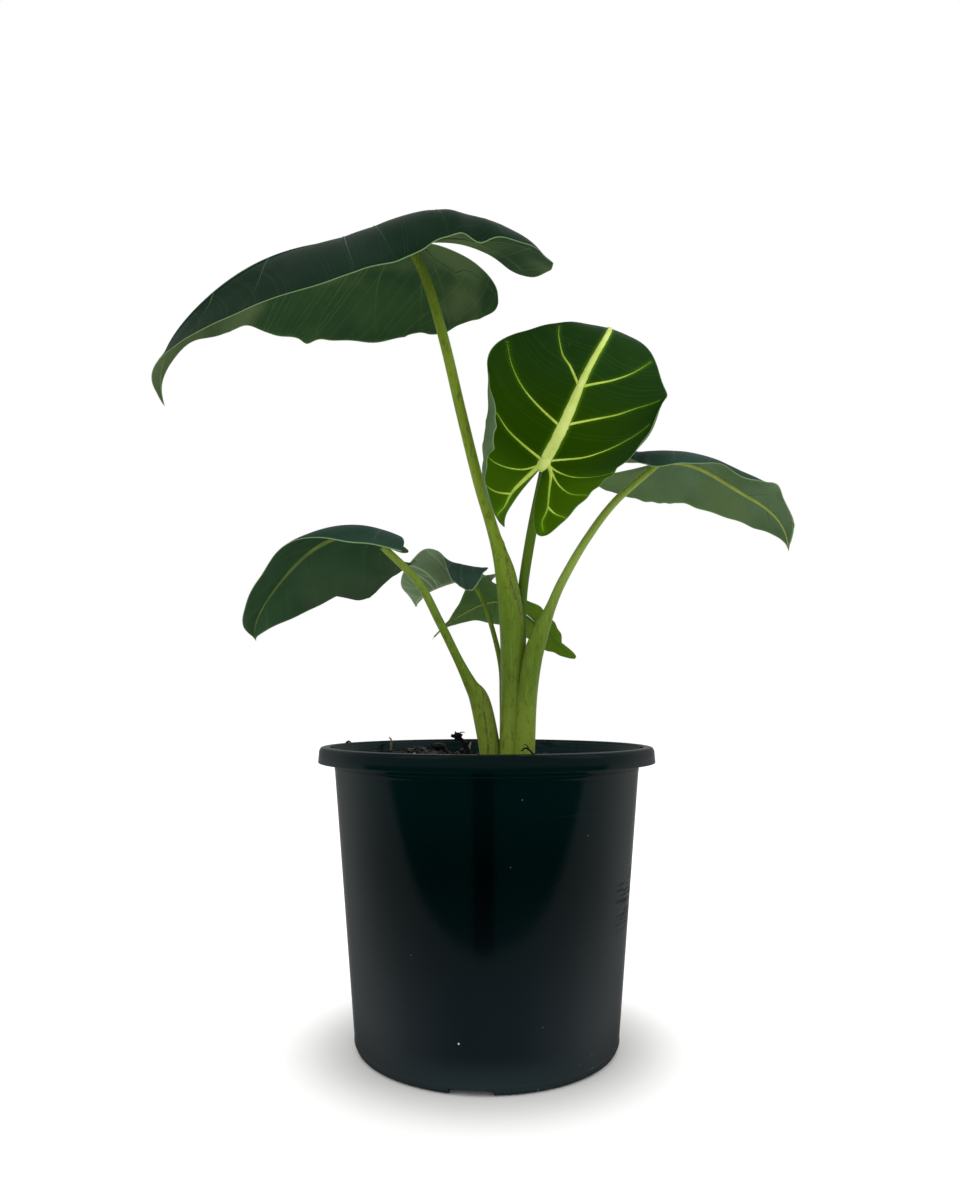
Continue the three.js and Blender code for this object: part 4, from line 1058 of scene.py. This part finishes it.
def build_stalk(name, finish):
    """A tube along a smooth path through its places, which ends under the midrib of its blade."""
    spec = STALKS[name]
    _, place, _, up = Blade(name).backbones[LEFT]
    row = AXIS_STEPS + round(AXIS_STEPS * spec["attach"])
    end = place[row] - up[row] * STALK_DEPTH
    stations = np.array([*spec["places"], (*end, spec["tip"])])
    path = through(stations, np.linspace(0, 1, STALK_STEPS * (len(stations) - 1) + 1))
    centre, radius = path[:, :3], path[:, 3:]
    along = unit(np.gradient(centre, axis=0))
    right = unit(np.cross(along, np.array([0, -1, 0])))
    front = np.cross(right, along)
    angle = np.linspace(-math.pi, math.pi, STALK_SIDES, endpoint=False)[None]
    profile, membrane, border = 1 + 0 * angle, 0 * angle, 0 * angle
    if spec["sheath"]:
        profile, membrane, border = sheath_profile(spec["sheath"], centre[:, 2:], angle)
    way = np.cos(angle)[..., None] * front[:, None] + np.sin(angle)[..., None] * right[:, None]
    points = centre[:, None] + (radius * profile)[..., None] * way
    marks = {"membrane": membrane, "border": border, "height": points[..., 2],
             "shade": spec.get("shade", 0), "pale": spec.get("pale", 0)}
    attributes = {key: np.broadcast_to(values, points.shape[:2]).ravel() for key, values in marks.items()}
    piece = new_piece(f"{name}_leaf_stalk", points.reshape(-1, 3) * MM,
                      tube_faces(len(centre), STALK_SIDES), [finish], attributes=attributes)
    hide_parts(f"stalk_{name}")


STALK = stalk_finish()
for leaf_name in STALKS:
    build_stalk(leaf_name, STALK)

# Pot: radii and heights of the lathed part, then the beads on its outside as (height, how far out)
POT_SIDES = 192
POT = dict(height=177, rim=105, rim_drop=9.5, mouth=98, top=96, foot=79.5, wall=1.4, floor=5.4, underside=4,
           foot_ring=5.4, corner=2.5)
FOOT_BEAD = ((3.2, -0.1), (3.9, 0.25), (4.9, 0.25), (5.6, 0))
TOP_BEAD = ((162.4, 0), (163, 0.12), (164.4, 0.12), (165, 0))

# Four notches in the foot ring and four drain holes, each a quarter turn apart from a first one
NOTCH = dict(turn=-96, radius=80, depth=16, width=24, height=3.4)
DRAIN = dict(turn=-51, ring=52, radius=6, height=4.7, depth=6, sides=48)

# Specks on the outside as (degrees round from the front, height, radius, colour)
POT_SPECKS = [
    (-10.3, 27, 0.6, (196, 198, 188)), (11.6, 153, 0.4, (74, 88, 84)), (-28, 70, 0.4, (60, 74, 72)),
    (21, 34, 0.4, (70, 82, 80)), (8, 118, 0.35, (60, 76, 74)), (37, 132, 0.4, (66, 80, 78))]
SPECK_RADIUS = 88

# The inner side in the finish: all that is less far out than a wall that widens upwards, by so many mm to a
# metre, and a band at the mouth
INNER_WALL_RADIUS, INNER_WALL_SLOPE = 79, 93.2
INNER_BAND_RADIUS, INNER_BAND_HEIGHT = 98, 171
MOULD_LINE_HEIGHT = 143.3


def lathe_mesh(profile, sides):
    """A closed profile of (radius, height) turned round Z; rows on the axis come out as closed poles."""
    turn = around(sides)
    radius, height = np.asarray(profile, float).T[..., None]
    points = np.stack([radius * np.cos(turn), radius * np.sin(turn), height + 0 * turn], -1)
    return points.reshape(-1, 3), [grid_faces(len(profile), sides, close_columns=True)]


def rounded(profile, cut, steps=4):
    """A profile with each inner corner replaced by a short parabola that starts cut millimetres from it."""
    profile = np.asarray(profile, float)
    out = [profile[0]]
    for before, corner, after in zip(profile[:-2], profile[1:-1], profile[2:]):
        first, second = before - corner, after - corner
        a = corner + first * min(cut / np.linalg.norm(first), 0.45)
        b = corner + second * min(cut / np.linalg.norm(second), 0.45)
        for t in np.linspace(0, 1, steps):
            out.append((1 - t) ** 2 * a + 2 * t * (1 - t) * corner + t ** 2 * b)
    out.append(profile[-1])
    return np.array(out)


def pot_finish():
    """Glossy green-black moulded plastic.

    It has faint flow marks and a mould line, a painted reflection of the floor that grows towards the foot
    and is darker in front, a painted reflection at the front of the foot, scuffs and nicks on the right, a
    few specks, and a duller inner wall with crumbs of mix on it.
    """
    f = Finish("pot_plastic", IOR=1.5, Specular_IOR_Level=0.075, Specular_Tint=(0.66, 0.93, 1.0, 1.0))
    clouds = f.noise(9)
    grain = f.noise(1500, 2)
    flow = f.noise(30, 3, (1, 1, 0.05))
    scuff = f.noise(220, 3, (0.25, 0.25, 4.5))
    x, y, z = f.axes()
    height = z * 1000
    radius = (x * x + y * y) ** 0.5 * 1000
    spin = x.math("ARCTAN2", y * -1)
    beside = spin.math("ABSOLUTE").ramp(0.1, 1.1)
    mould_line = (height - MOULD_LINE_HEIGHT).math("ABSOLUTE").ramp(0.5, 0.15)
    scuffed = spin.ramp(0.86, 1.02) * height.ramp(68, 80) * height.ramp(112, 100)
    nicks = f.noise(500, 2, (0.4, 0.4, 2)).ramp(0.68, 0.74) * spin.ramp(0.55, 0.7) * height.ramp(18, 8)
    layers = [
        (height.ramp(110, 172) * 0.9, (1, 12, 12)),
        # Painted reflection of the floor: lighter towards the foot and at the sides, darker in front, mottled
        (height.ramp(120, 5) * (0.6 + clouds * 0.6), f.mix(beside, (11, 18, 23), (40, 44, 46))),
        (mould_line * clouds.ramp(0.4, 0.6) * 0.1, (50, 70, 66)),
        (scuff.ramp(0.56, 0.64) * scuffed * 0.25, (60, 66, 66)),
        (nicks * 0.5, (110, 120, 120))]
    for turn, speck_height, size, tint in POT_SPECKS:
        away = ((spin - math.radians(turn)) * SPECK_RADIUS) ** 2 + (height - speck_height) ** 2
        layers.append((away.ramp(size ** 2, size ** 2 * 0.4), tint))
    wall = (radius - z * INNER_WALL_SLOPE).ramp(INNER_WALL_RADIUS + 0.1, INNER_WALL_RADIUS - 0.1)
    band = (radius.ramp(INNER_BAND_RADIUS + 0.2, INNER_BAND_RADIUS - 0.2)
            * height.ramp(INNER_BAND_HEIGHT - 0.5, INNER_BAND_HEIGHT + 0.5))
    inside = wall.math("MAXIMUM", band)
    crumbs = f.noise(640, 2).ramp(0.66, 0.72) * clouds.ramp(0.4, 0.6)
    layers += [
        # Painted reflection of the floor, lighter at the front of the foot
        (height.ramp(22, 4) * (1 - beside) * 0.6, (40, 52, 54)),
        (inside * 0.85, (18, 37, 36)),
        (inside * crumbs * 0.7, (120, 128, 122))]
    f.paint(f.mix(clouds.ramp(0.3, 0.7), (0, 2, 2), (1, 5, 5)), layers)
    f.feed("Roughness", 0.06 + clouds * 0.08 + grain * 0.03 + scuff.ramp(0.5, 0.6) * scuffed * 0.4)
    f.bump(grain * 0.3 + clouds * 3 + flow * 2.5, 0.00014, 0.35)
    edge_on = f.node("ShaderNodeLayerWeight", {}, {"Blend": 0.5}, "Facing").ramp(0.3, 0.85)
    f.blend("ShaderNodeBsdfDiffuse", (5, 16, 17), edge_on * 0.8)
    return f.material


def pot_cutters():
    """Boxes across the foot ring and cylinders through the floor, at quarter turns."""
    cutters = []
    for k in range(4):
        turn = math.radians(NOTCH["turn"] + 90 * k)
        centre = (NOTCH["radius"] * math.cos(turn) * MM, NOTCH["radius"] * math.sin(turn) * MM, 0)
        bpy.ops.mesh.primitive_cube_add(size=1, location=centre, rotation=(0, 0, turn))
        bpy.context.object.scale = (NOTCH["depth"] * MM, NOTCH["width"] * MM, 2 * NOTCH["height"] * MM)
        cutters.append(bpy.context.object)
        turn = math.radians(DRAIN["turn"] + 90 * k)
        ring, height = DRAIN["ring"], DRAIN["height"]
        centre = (ring * math.cos(turn) * MM, ring * math.sin(turn) * MM, height * MM)
        bpy.ops.mesh.primitive_cylinder_add(
            vertices=DRAIN["sides"], radius=DRAIN["radius"] * MM, depth=DRAIN["depth"] * MM, location=centre)
        cutters.append(bpy.context.object)
    return cutters


def build_pot():
    """The pot turned from its profile, then notches cut in the foot ring and drain holes in the floor.

    The outer radius grows evenly from the foot to the top. The profile runs from the floor's underside round
    the foot ring, up the outside, round the folded rim and down the inside to the floor.
    """
    height, rim, mouth, top, foot = (POT[key] for key in ("height", "rim", "mouth", "top", "foot"))
    wall, floor, underside, corner = (POT[key] for key in ("wall", "floor", "underside", "corner"))
    slope = (top - foot) / height
    skirt, skirt_foot = rim - wall, height - POT["rim_drop"]
    inner_foot = foot - POT["foot_ring"]
    marks = (*FOOT_BEAD, *TOP_BEAD, (skirt_foot + 1, 0))
    outside = [(foot + slope * level + out, level) for level, out in marks]
    profile = [
        (0, underside), (inner_foot, underside), (inner_foot, 0), (foot - 2.6, 0), (foot - 0.8, 0.9),
        *outside, (top + 0.4, height - wall), (skirt - 1.2, height - wall), (skirt, skirt_foot),
        (rim, skirt_foot), (rim - 0.5, height - 2.2), (rim - 1.4, height - 0.4), (rim - 2.8, height),
        (mouth, height), (mouth - 0.6, height - 5), (top - wall, height - 6), (foot - wall, floor + corner),
        (foot - wall - corner, floor), (0, floor)]
    points, faces = lathe_mesh(rounded(profile, 0.5), POT_SIDES)
    piece = new_piece("nursery_pot", points * MM, faces, [pot_finish()], weld=1e-7)
    cutters = pot_cutters()
    for cutter in cutters:
        cut = piece.modifiers.new("cut", "BOOLEAN")
        cut.operation = "DIFFERENCE"
        cut.solver = "EXACT"
        cut.object = cutter
    result = bpy.data.meshes.new_from_object(piece.evaluated_get(bpy.context.evaluated_depsgraph_get()))
    piece.modifiers.clear()
    piece.data = result
    for cutter in cutters:
        bpy.data.objects.remove(cutter)
    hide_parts("pot")


build_pot()

# Mix: the level and edge radius of its top and a mound by the wall, then its foot as (radius, height), and
# the top's unevenness as (scale, seed, height) from coarse to fine
MIX = dict(level=165, edge=93.4, mound=(-50, 68), mound_height=6, mound_spread=24)
MIX_FOOT = ((0, 5.8), (74.5, 5.8), (77, 8.3))
MIX_UNEVENNESS = ((7, 1, 0.9), (3, 2, 0.7), (1.4, 3, 0.4))
MIX_RINGS, MIX_SIDES = 90, 240


def mix_height(x, y):
    """Level, plus a mound by the wall and a gentle unevenness, as in the part."""
    away = np.hypot(x - MIX["mound"][0], y - MIX["mound"][1]) / MIX["mound_spread"]
    return MIX["level"] + MIX["mound_height"] * np.exp(-away ** 2) + np.sin(x / 17) * np.cos(y / 21)


def mix_finish():
    """Dark crumbly peat: two tones in coarse clouds, with fine pale grains."""
    f = Finish("bark_mix", Specular_IOR_Level=0.25)
    coarse = f.noise(220, 4, roughness=0.7)
    fine = f.noise(1100)
    peat = f.mix(coarse.ramp(0.35, 0.65), (22, 24, 24), (44, 43, 40))
    f.paint(peat, [(fine.ramp(0.6, 0.8) * 0.6, (84, 82, 76))])
    f.feed("Roughness", 0.85 + fine * 0.1)
    f.bump(coarse + fine * 0.5, 0.0012)
    return f.material


def build_mix():
    """A closed body: rings from the foot to the edge, then rings inwards on mix_height with noise on top.

    The noise fades in over the first 4 mm from the edge.
    """
    radius = MIX["edge"] * np.linspace(1, 0, MIX_RINGS)[:, None] ** 0.9
    turn = around(MIX_SIDES)
    x, y = radius * np.cos(turn), radius * np.sin(turn)
    spot = np.stack([x, y, 0 * x], -1)
    rough = sum(value_noise(spot, scale, seed) * height for scale, seed, height in MIX_UNEVENNESS)
    z = mix_height(x, y) + rough * smoothstep(MIX["edge"] - np.hypot(x, y), 0, 4)
    rings = [(r * np.cos(turn), r * np.sin(turn), level + 0 * turn) for r, level in MIX_FOOT]
    points = np.concatenate([np.stack(ring, -1) for ring in [*rings, (x.ravel(), y.ravel(), z.ravel())]])
    faces = grid_faces(MIX_RINGS + len(MIX_FOOT), MIX_SIDES, close_columns=True)
    piece = new_piece("potting_mix_body", points * MM, [faces], [mix_finish()], weld=1e-7)
    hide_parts("potting_mix")


build_mix()

# Loose things on the mix. A crumb is an icosahedron, whose corners are (0, 1, GOLDEN) turned about and with
# every pair of signs.
GOLDEN = (1 + math.sqrt(5)) / 2
CRUMB_CORNERS = np.array([
    (-1, GOLDEN, 0), (1, GOLDEN, 0), (-1, -GOLDEN, 0), (1, -GOLDEN, 0), (0, -1, GOLDEN), (0, 1, GOLDEN),
    (0, -1, -GOLDEN), (0, 1, -GOLDEN), (GOLDEN, 0, -1), (GOLDEN, 0, 1), (-GOLDEN, 0, -1), (-GOLDEN, 0, 1)])
CRUMB_CORNERS = CRUMB_CORNERS / math.hypot(1, GOLDEN)
CRUMB_FACES = np.array([
    (0, 11, 5), (0, 5, 1), (0, 1, 7), (0, 7, 10), (0, 10, 11), (1, 5, 9), (5, 11, 4), (11, 10, 2), (10, 7, 6),
    (7, 1, 8), (3, 9, 4), (3, 4, 2), (3, 2, 6), (3, 6, 8), (3, 8, 9), (4, 9, 5), (2, 4, 11), (6, 2, 10),
    (8, 6, 7), (9, 8, 1)])


def debris_finish(name, dark, mid, pale):
    """Dry bark, fibre or mineral crumb: three tones picked by each crumb's own number, mottled."""
    f = Finish(name, IOR=1.3)
    tone = f.attribute("tone")
    mottle = f.noise(700)
    layers = [(tone.ramp(0.8, 1), pale), (mottle.ramp(0.4, 0.7) * 0.45, dark)]
    f.paint(f.mix(tone.ramp(0, 0.6), dark, mid), layers)
    f.feed("Roughness", 0.75 + mottle * 0.2)
    f.bump(mottle, 0.0005)
    return f.material


# A direction that no strand runs along, which turns the rings of the tubes
TUBE_UP = np.array([0.3, 0.2, 1.0])

CRUMB = debris_finish("crumb", (14, 16, 16), (56, 58, 56), (206, 206, 200))
FIBRE = debris_finish("fibre", (34, 30, 22), (92, 82, 58), (150, 138, 104))
BARK = debris_finish("bark", (7, 10, 11), (26, 29, 29), (58, 54, 48))


def lumps(name, spots, sizes, tones, material, rng, flatness=(0.5, 1.0)):
    """Few-faced crumbs: icosahedra with jittered corners, squashed, turned at random and set at the spots."""
    count, corners = len(spots), len(CRUMB_CORNERS)
    shape = CRUMB_CORNERS * (1 + 0.25 * rng.uniform(-1, 1, (count, corners, 1)))
    squash = [rng.uniform(low, high, count) for low, high in ((0.7, 1.3), flatness, (0.5, 1))]
    shape = shape * np.stack(squash, -1)[:, None]
    axes = unit(rng.normal(size=(count, 3)))
    other = unit(np.cross(axes, rng.normal(size=(count, 3))))
    turned = np.stack([axes, other, np.cross(axes, other)], 1)
    points = np.einsum("nij,njk->nik", shape, turned) * sizes[:, None, None] + spots[:, None]
    faces = (CRUMB_FACES + corners * np.arange(count)[:, None, None]).reshape(-1, 3)
    piece = new_piece(name, points.reshape(-1, 3) * MM, [faces], [material],
                      attributes={"tone": np.repeat(tones, corners)})
    piece.data.polygons.foreach_set("use_smooth", np.zeros(len(piece.data.polygons), bool))


def tubes(name, paths, radii, tones, material, sides, steps, taper=0.6, unevenness=0.2):
    """Thin uneven tubes through places, each tapering to its end by a share of its radius, with flat caps."""
    points, faces, marks = [], [], []
    share = np.linspace(0, 1, steps)
    turn = around(sides)[None, :, None]
    for path, radius, tone in zip(paths, radii, tones):
        centre = through(path, share)
        along = unit(np.gradient(centre, axis=0))
        right = unit(np.cross(along, TUBE_UP))
        up = np.cross(right, along)
        reach = radius * (1 - taper * share) * (1 + unevenness * value_noise(centre, 2.2, 5))
        way = np.cos(turn) * right[:, None] + np.sin(turn) * up[:, None]
        faces += tube_faces(steps, sides, len(points) * steps * sides, flip=True)
        points.append((centre[:, None] + reach[:, None, None] * way).reshape(-1, 3))
        marks.append(np.full(steps * sides, tone))
    attributes = {"tone": np.concatenate(marks)}
    return new_piece(name, np.concatenate(points) * MM, faces, [material], attributes=attributes)


def spread(rng, count, reach):
    """Places spread evenly over a disc, as x and y."""
    radius = reach * np.sqrt(rng.uniform(0, 1, count))
    turn = rng.uniform(0, FULL_TURN, count)
    return radius * np.cos(turn), radius * np.sin(turn)


def scatter_crumbs(rng, count=2600, reach=91.5, pale_share=0.05):
    """Crumbs from 0.5 to 2.4 mm, mostly small and dark, half sunk in the mix."""
    x, y = spread(rng, count, reach)
    size = 0.5 + 1.9 * rng.uniform(0, 1, count) ** 3
    tone = np.where(rng.uniform(0, 1, count) < pale_share, 1, rng.uniform(0, 0.75, count))
    spots = np.stack([x, y, mix_height(x, y) + size * 0.5], -1)
    lumps("mix_crumbs", spots, size, tone, CRUMB, rng)


def scatter_flakes(rng, count=160, reach=88):
    """Flat flakes of bark just over the mix."""
    x, y = spread(rng, count, reach)
    size = rng.uniform(2.2, 4.6, count)
    tone = rng.uniform(0, 0.9, count)
    spots = np.stack([x, y, mix_height(x, y) + 0.6], -1)
    lumps("bark_flakes", spots, size, tone, BARK, rng, flatness=(0.3, 0.6))


def scatter_fibres(rng, count=70, reach=84, limit=90):
    """Thin fibres that wander over the mix by random steps, kept inside the limit's radius."""
    paths = []
    for _ in range(count):
        distance = reach * math.sqrt(rng.uniform())
        turn = rng.uniform(0, FULL_TURN)
        start = distance * np.array([math.cos(turn), math.sin(turn)])
        places = start + np.cumsum(rng.normal(0, 3.2, (5, 2)), 0)
        radius = np.linalg.norm(places, axis=-1, keepdims=True)
        places = places * np.minimum(1, limit / np.maximum(radius, 1e-6))
        lift = mix_height(places[:, 0], places[:, 1]) + 0.6 + np.abs(rng.normal(0, 1.1, 5))
        paths.append(np.column_stack([places, lift]))
    tubes("mix_fibres", paths, rng.uniform(0.15, 0.45, count), rng.uniform(0.2, 1, count), FIBRE, 5, 12)


rng = np.random.default_rng(11)
scatter_crumbs(rng)
scatter_flakes(rng)
scatter_fibres(rng)

# Bits placed one by one, each with the CAD node that it replaces, its finish, the steps of a strand, and its
# strands as (radius at the root, tone, places)
BITS = {
    "root_over_rim": ("root_bit_rim", FIBRE, 24, [
        (1, 0.55, [(-67, 59, 170.5), (-67.4, 62, 175), (-67.8, 65, 178), (-69.5, 68.5, 179.3)]),
        (0.5, 0.5, [(-67.5, 62.4, 175.4), (-66, 63.5, 177.2), (-64.5, 63, 176.4)])]),
    "root_at_back": ("root_bit_back", FIBRE, 20, [
        (1.25, 0.95, [(-12, 80, 166.5), (-12.5, 82, 171), (-11.5, 83, 175.4)]),
        (0.6, 0.8, [(-12.4, 81.6, 170), (-14, 82, 172.5)])]),
    "dark_twig": ("twig_front", BARK, 24, [
        (0.8, 0.05, [(29, -24, 166.5), (28, -23.5, 173), (24, -23, 176.5), (21, -23, 174.5)]),
        (0.45, 0.05, [(26, -23.3, 175.4), (24.6, -22.4, 178), (22.6, -22, 179)]),
        (0.45, 0.05, [(28.2, -23.6, 172), (30.4, -22.6, 174.4)])]),
    "standing_bark": ("bark_chip_standing", BARK, 24, [
        (2.6, 0.1, [(-11, 27, 165.5), (-12.6, 26.8, 172), (-15.5, 26.4, 178), (-18, 26, 181)]),
        (2.3, 0.05, [(-16.6, 26, 181.2), (-19, 26, 182.4), (-21.4, 26, 181.8), (-23.6, 25.8, 182.4)]),
        (0.9, 0.1, [(-21, 26, 182.6), (-20.5, 26, 184), (-20.9, 26, 185)]),
        (0.55, 0.1, [(-18.4, 26, 182.8), (-17, 26, 184.3), (-14.4, 26, 184.4)]),
        (1.6, 0.1, [(-17.4, 26, 180), (-20, 26, 180.2), (-21, 26, 179)]),
        (0.8, 0.3, [(-13.4, 25.4, 177), (-11.6, 25, 178.6), (-10.8, 24.6, 178)])]),
    "clod_on_rim": (None, BARK, 20, [
        (0.9, 0.2, [(-95.4, 39.4, 176.6), (-94, 40.6, 177.8), (-92.6, 42, 176.8)])]),
}
BIT_SIDES = 10
for name, (node_name, finish, steps, strands) in BITS.items():
    radii, tones, paths = zip(*strands)
    piece = tubes(name, paths, radii, tones, finish, BIT_SIDES, steps)
    if node_name:
        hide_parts(node_name)

# CAD nodes that stay as they are, with a finish of their own
KEPT_NODES = {f"bark_chip_{k}": BARK for k in range(1, 9)}
KEPT_NODES["rootstock"] = FIBRE
for node_name, finish in KEPT_NODES.items():
    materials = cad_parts[node_name].data.materials
    materials.clear()
    materials.append(finish)

# Floor and studio, in metres


def stage_sheet(name, corners, height, finish):
    """A flat sheet of the stage at that height, facing up, through (x, y) corners that turn to the left."""
    mesh = bpy.data.meshes.new(name)
    mesh.from_pydata([(x, y, height) for x, y in corners], [], [(0, 1, 2, 3)])
    mesh.materials.append(finish.material)
    sheet = placed(name, mesh)
    return sheet


def floor_finish():
    """Pale and matt, with a glow that starts beyond the pot's foot."""
    f = Finish("pale_floor", Roughness=0.8, Specular_IOR_Level=0.0, Emission_Strength=0.3)
    f.paint(f.mix(f.noise(3), (236, 236, 234), (242, 242, 240)))
    away = f.node("ShaderNodeVectorMath", {"operation": "LENGTH"}, {0: f.place()}, "Value")
    f.feed("Emission Color", f.mix(away.ramp(0.081, 0.13), (0, 0, 0), (255, 255, 255)))
    return f


def lamp(name, place, target, size, watts):
    """A soft white rectangular lamp at place that faces target."""
    data = bpy.data.lights.new(name, "AREA")
    data.shape = "RECTANGLE"
    data.size, data.size_y = size
    data.energy = watts
    light = placed(name, data)
    light.location = place
    x, y, z = np.subtract(target, place)
    light.rotation_euler = (math.atan2(np.hypot(x, y), -z), 0, math.atan2(x, -y) + math.pi)
    light.visible_camera = False


stage_sheet("floor", [(-4, -4), (4, -4), (4, 4), (-4, 4)], 0, floor_finish())

# Two cards that only reflections see, as height, colour and corners. They are painted reflections: a broad
# teal card over the floor in front that darkens the pot's glossy front, and a black wedge in its middle.
CARDS = {
    "painted_reflection_front": (0.0006, (20, 165, 155), [(-4, -5), (4, -5), (4, -0.25), (-4, -0.235)]),
    "painted_reflection_wedge": (0.0012, (1, 1, 1), [(-0.24, -1.4), (0.13, -1.4), (0.02, -0.236), (-0.035, -0.236)]),
}
for name, (height, tint, corners) in CARDS.items():
    finish = Finish(name, Roughness=1.0, Specular_IOR_Level=0.0)
    finish.paint(tint)
    card = stage_sheet(name, corners, height, finish)
    card.visible_camera = False
    card.visible_diffuse = False
    card.visible_shadow = False
    card.visible_transmission = False

world = bpy.data.worlds.new("studio")
bpy.context.scene.world = world
world.use_nodes = True
world.node_tree.nodes["Background"].inputs["Color"].default_value = (1, 1, 1, 1)
world.node_tree.nodes["Background"].inputs["Strength"].default_value = 1.0
lamp("key_left", (-1.2, -1.0, 1.6), (0, 0, 0.25), (1.2, 1.6), 5)
lamp("fill_right", (1.6, -0.6, 1.2), (0, 0, 0.25), (1.0, 1.6), 4)
lamp("back_top", (0.2, 1.0, 1.7), (0, 0, 0.35), (1.4, 1.0), 5)
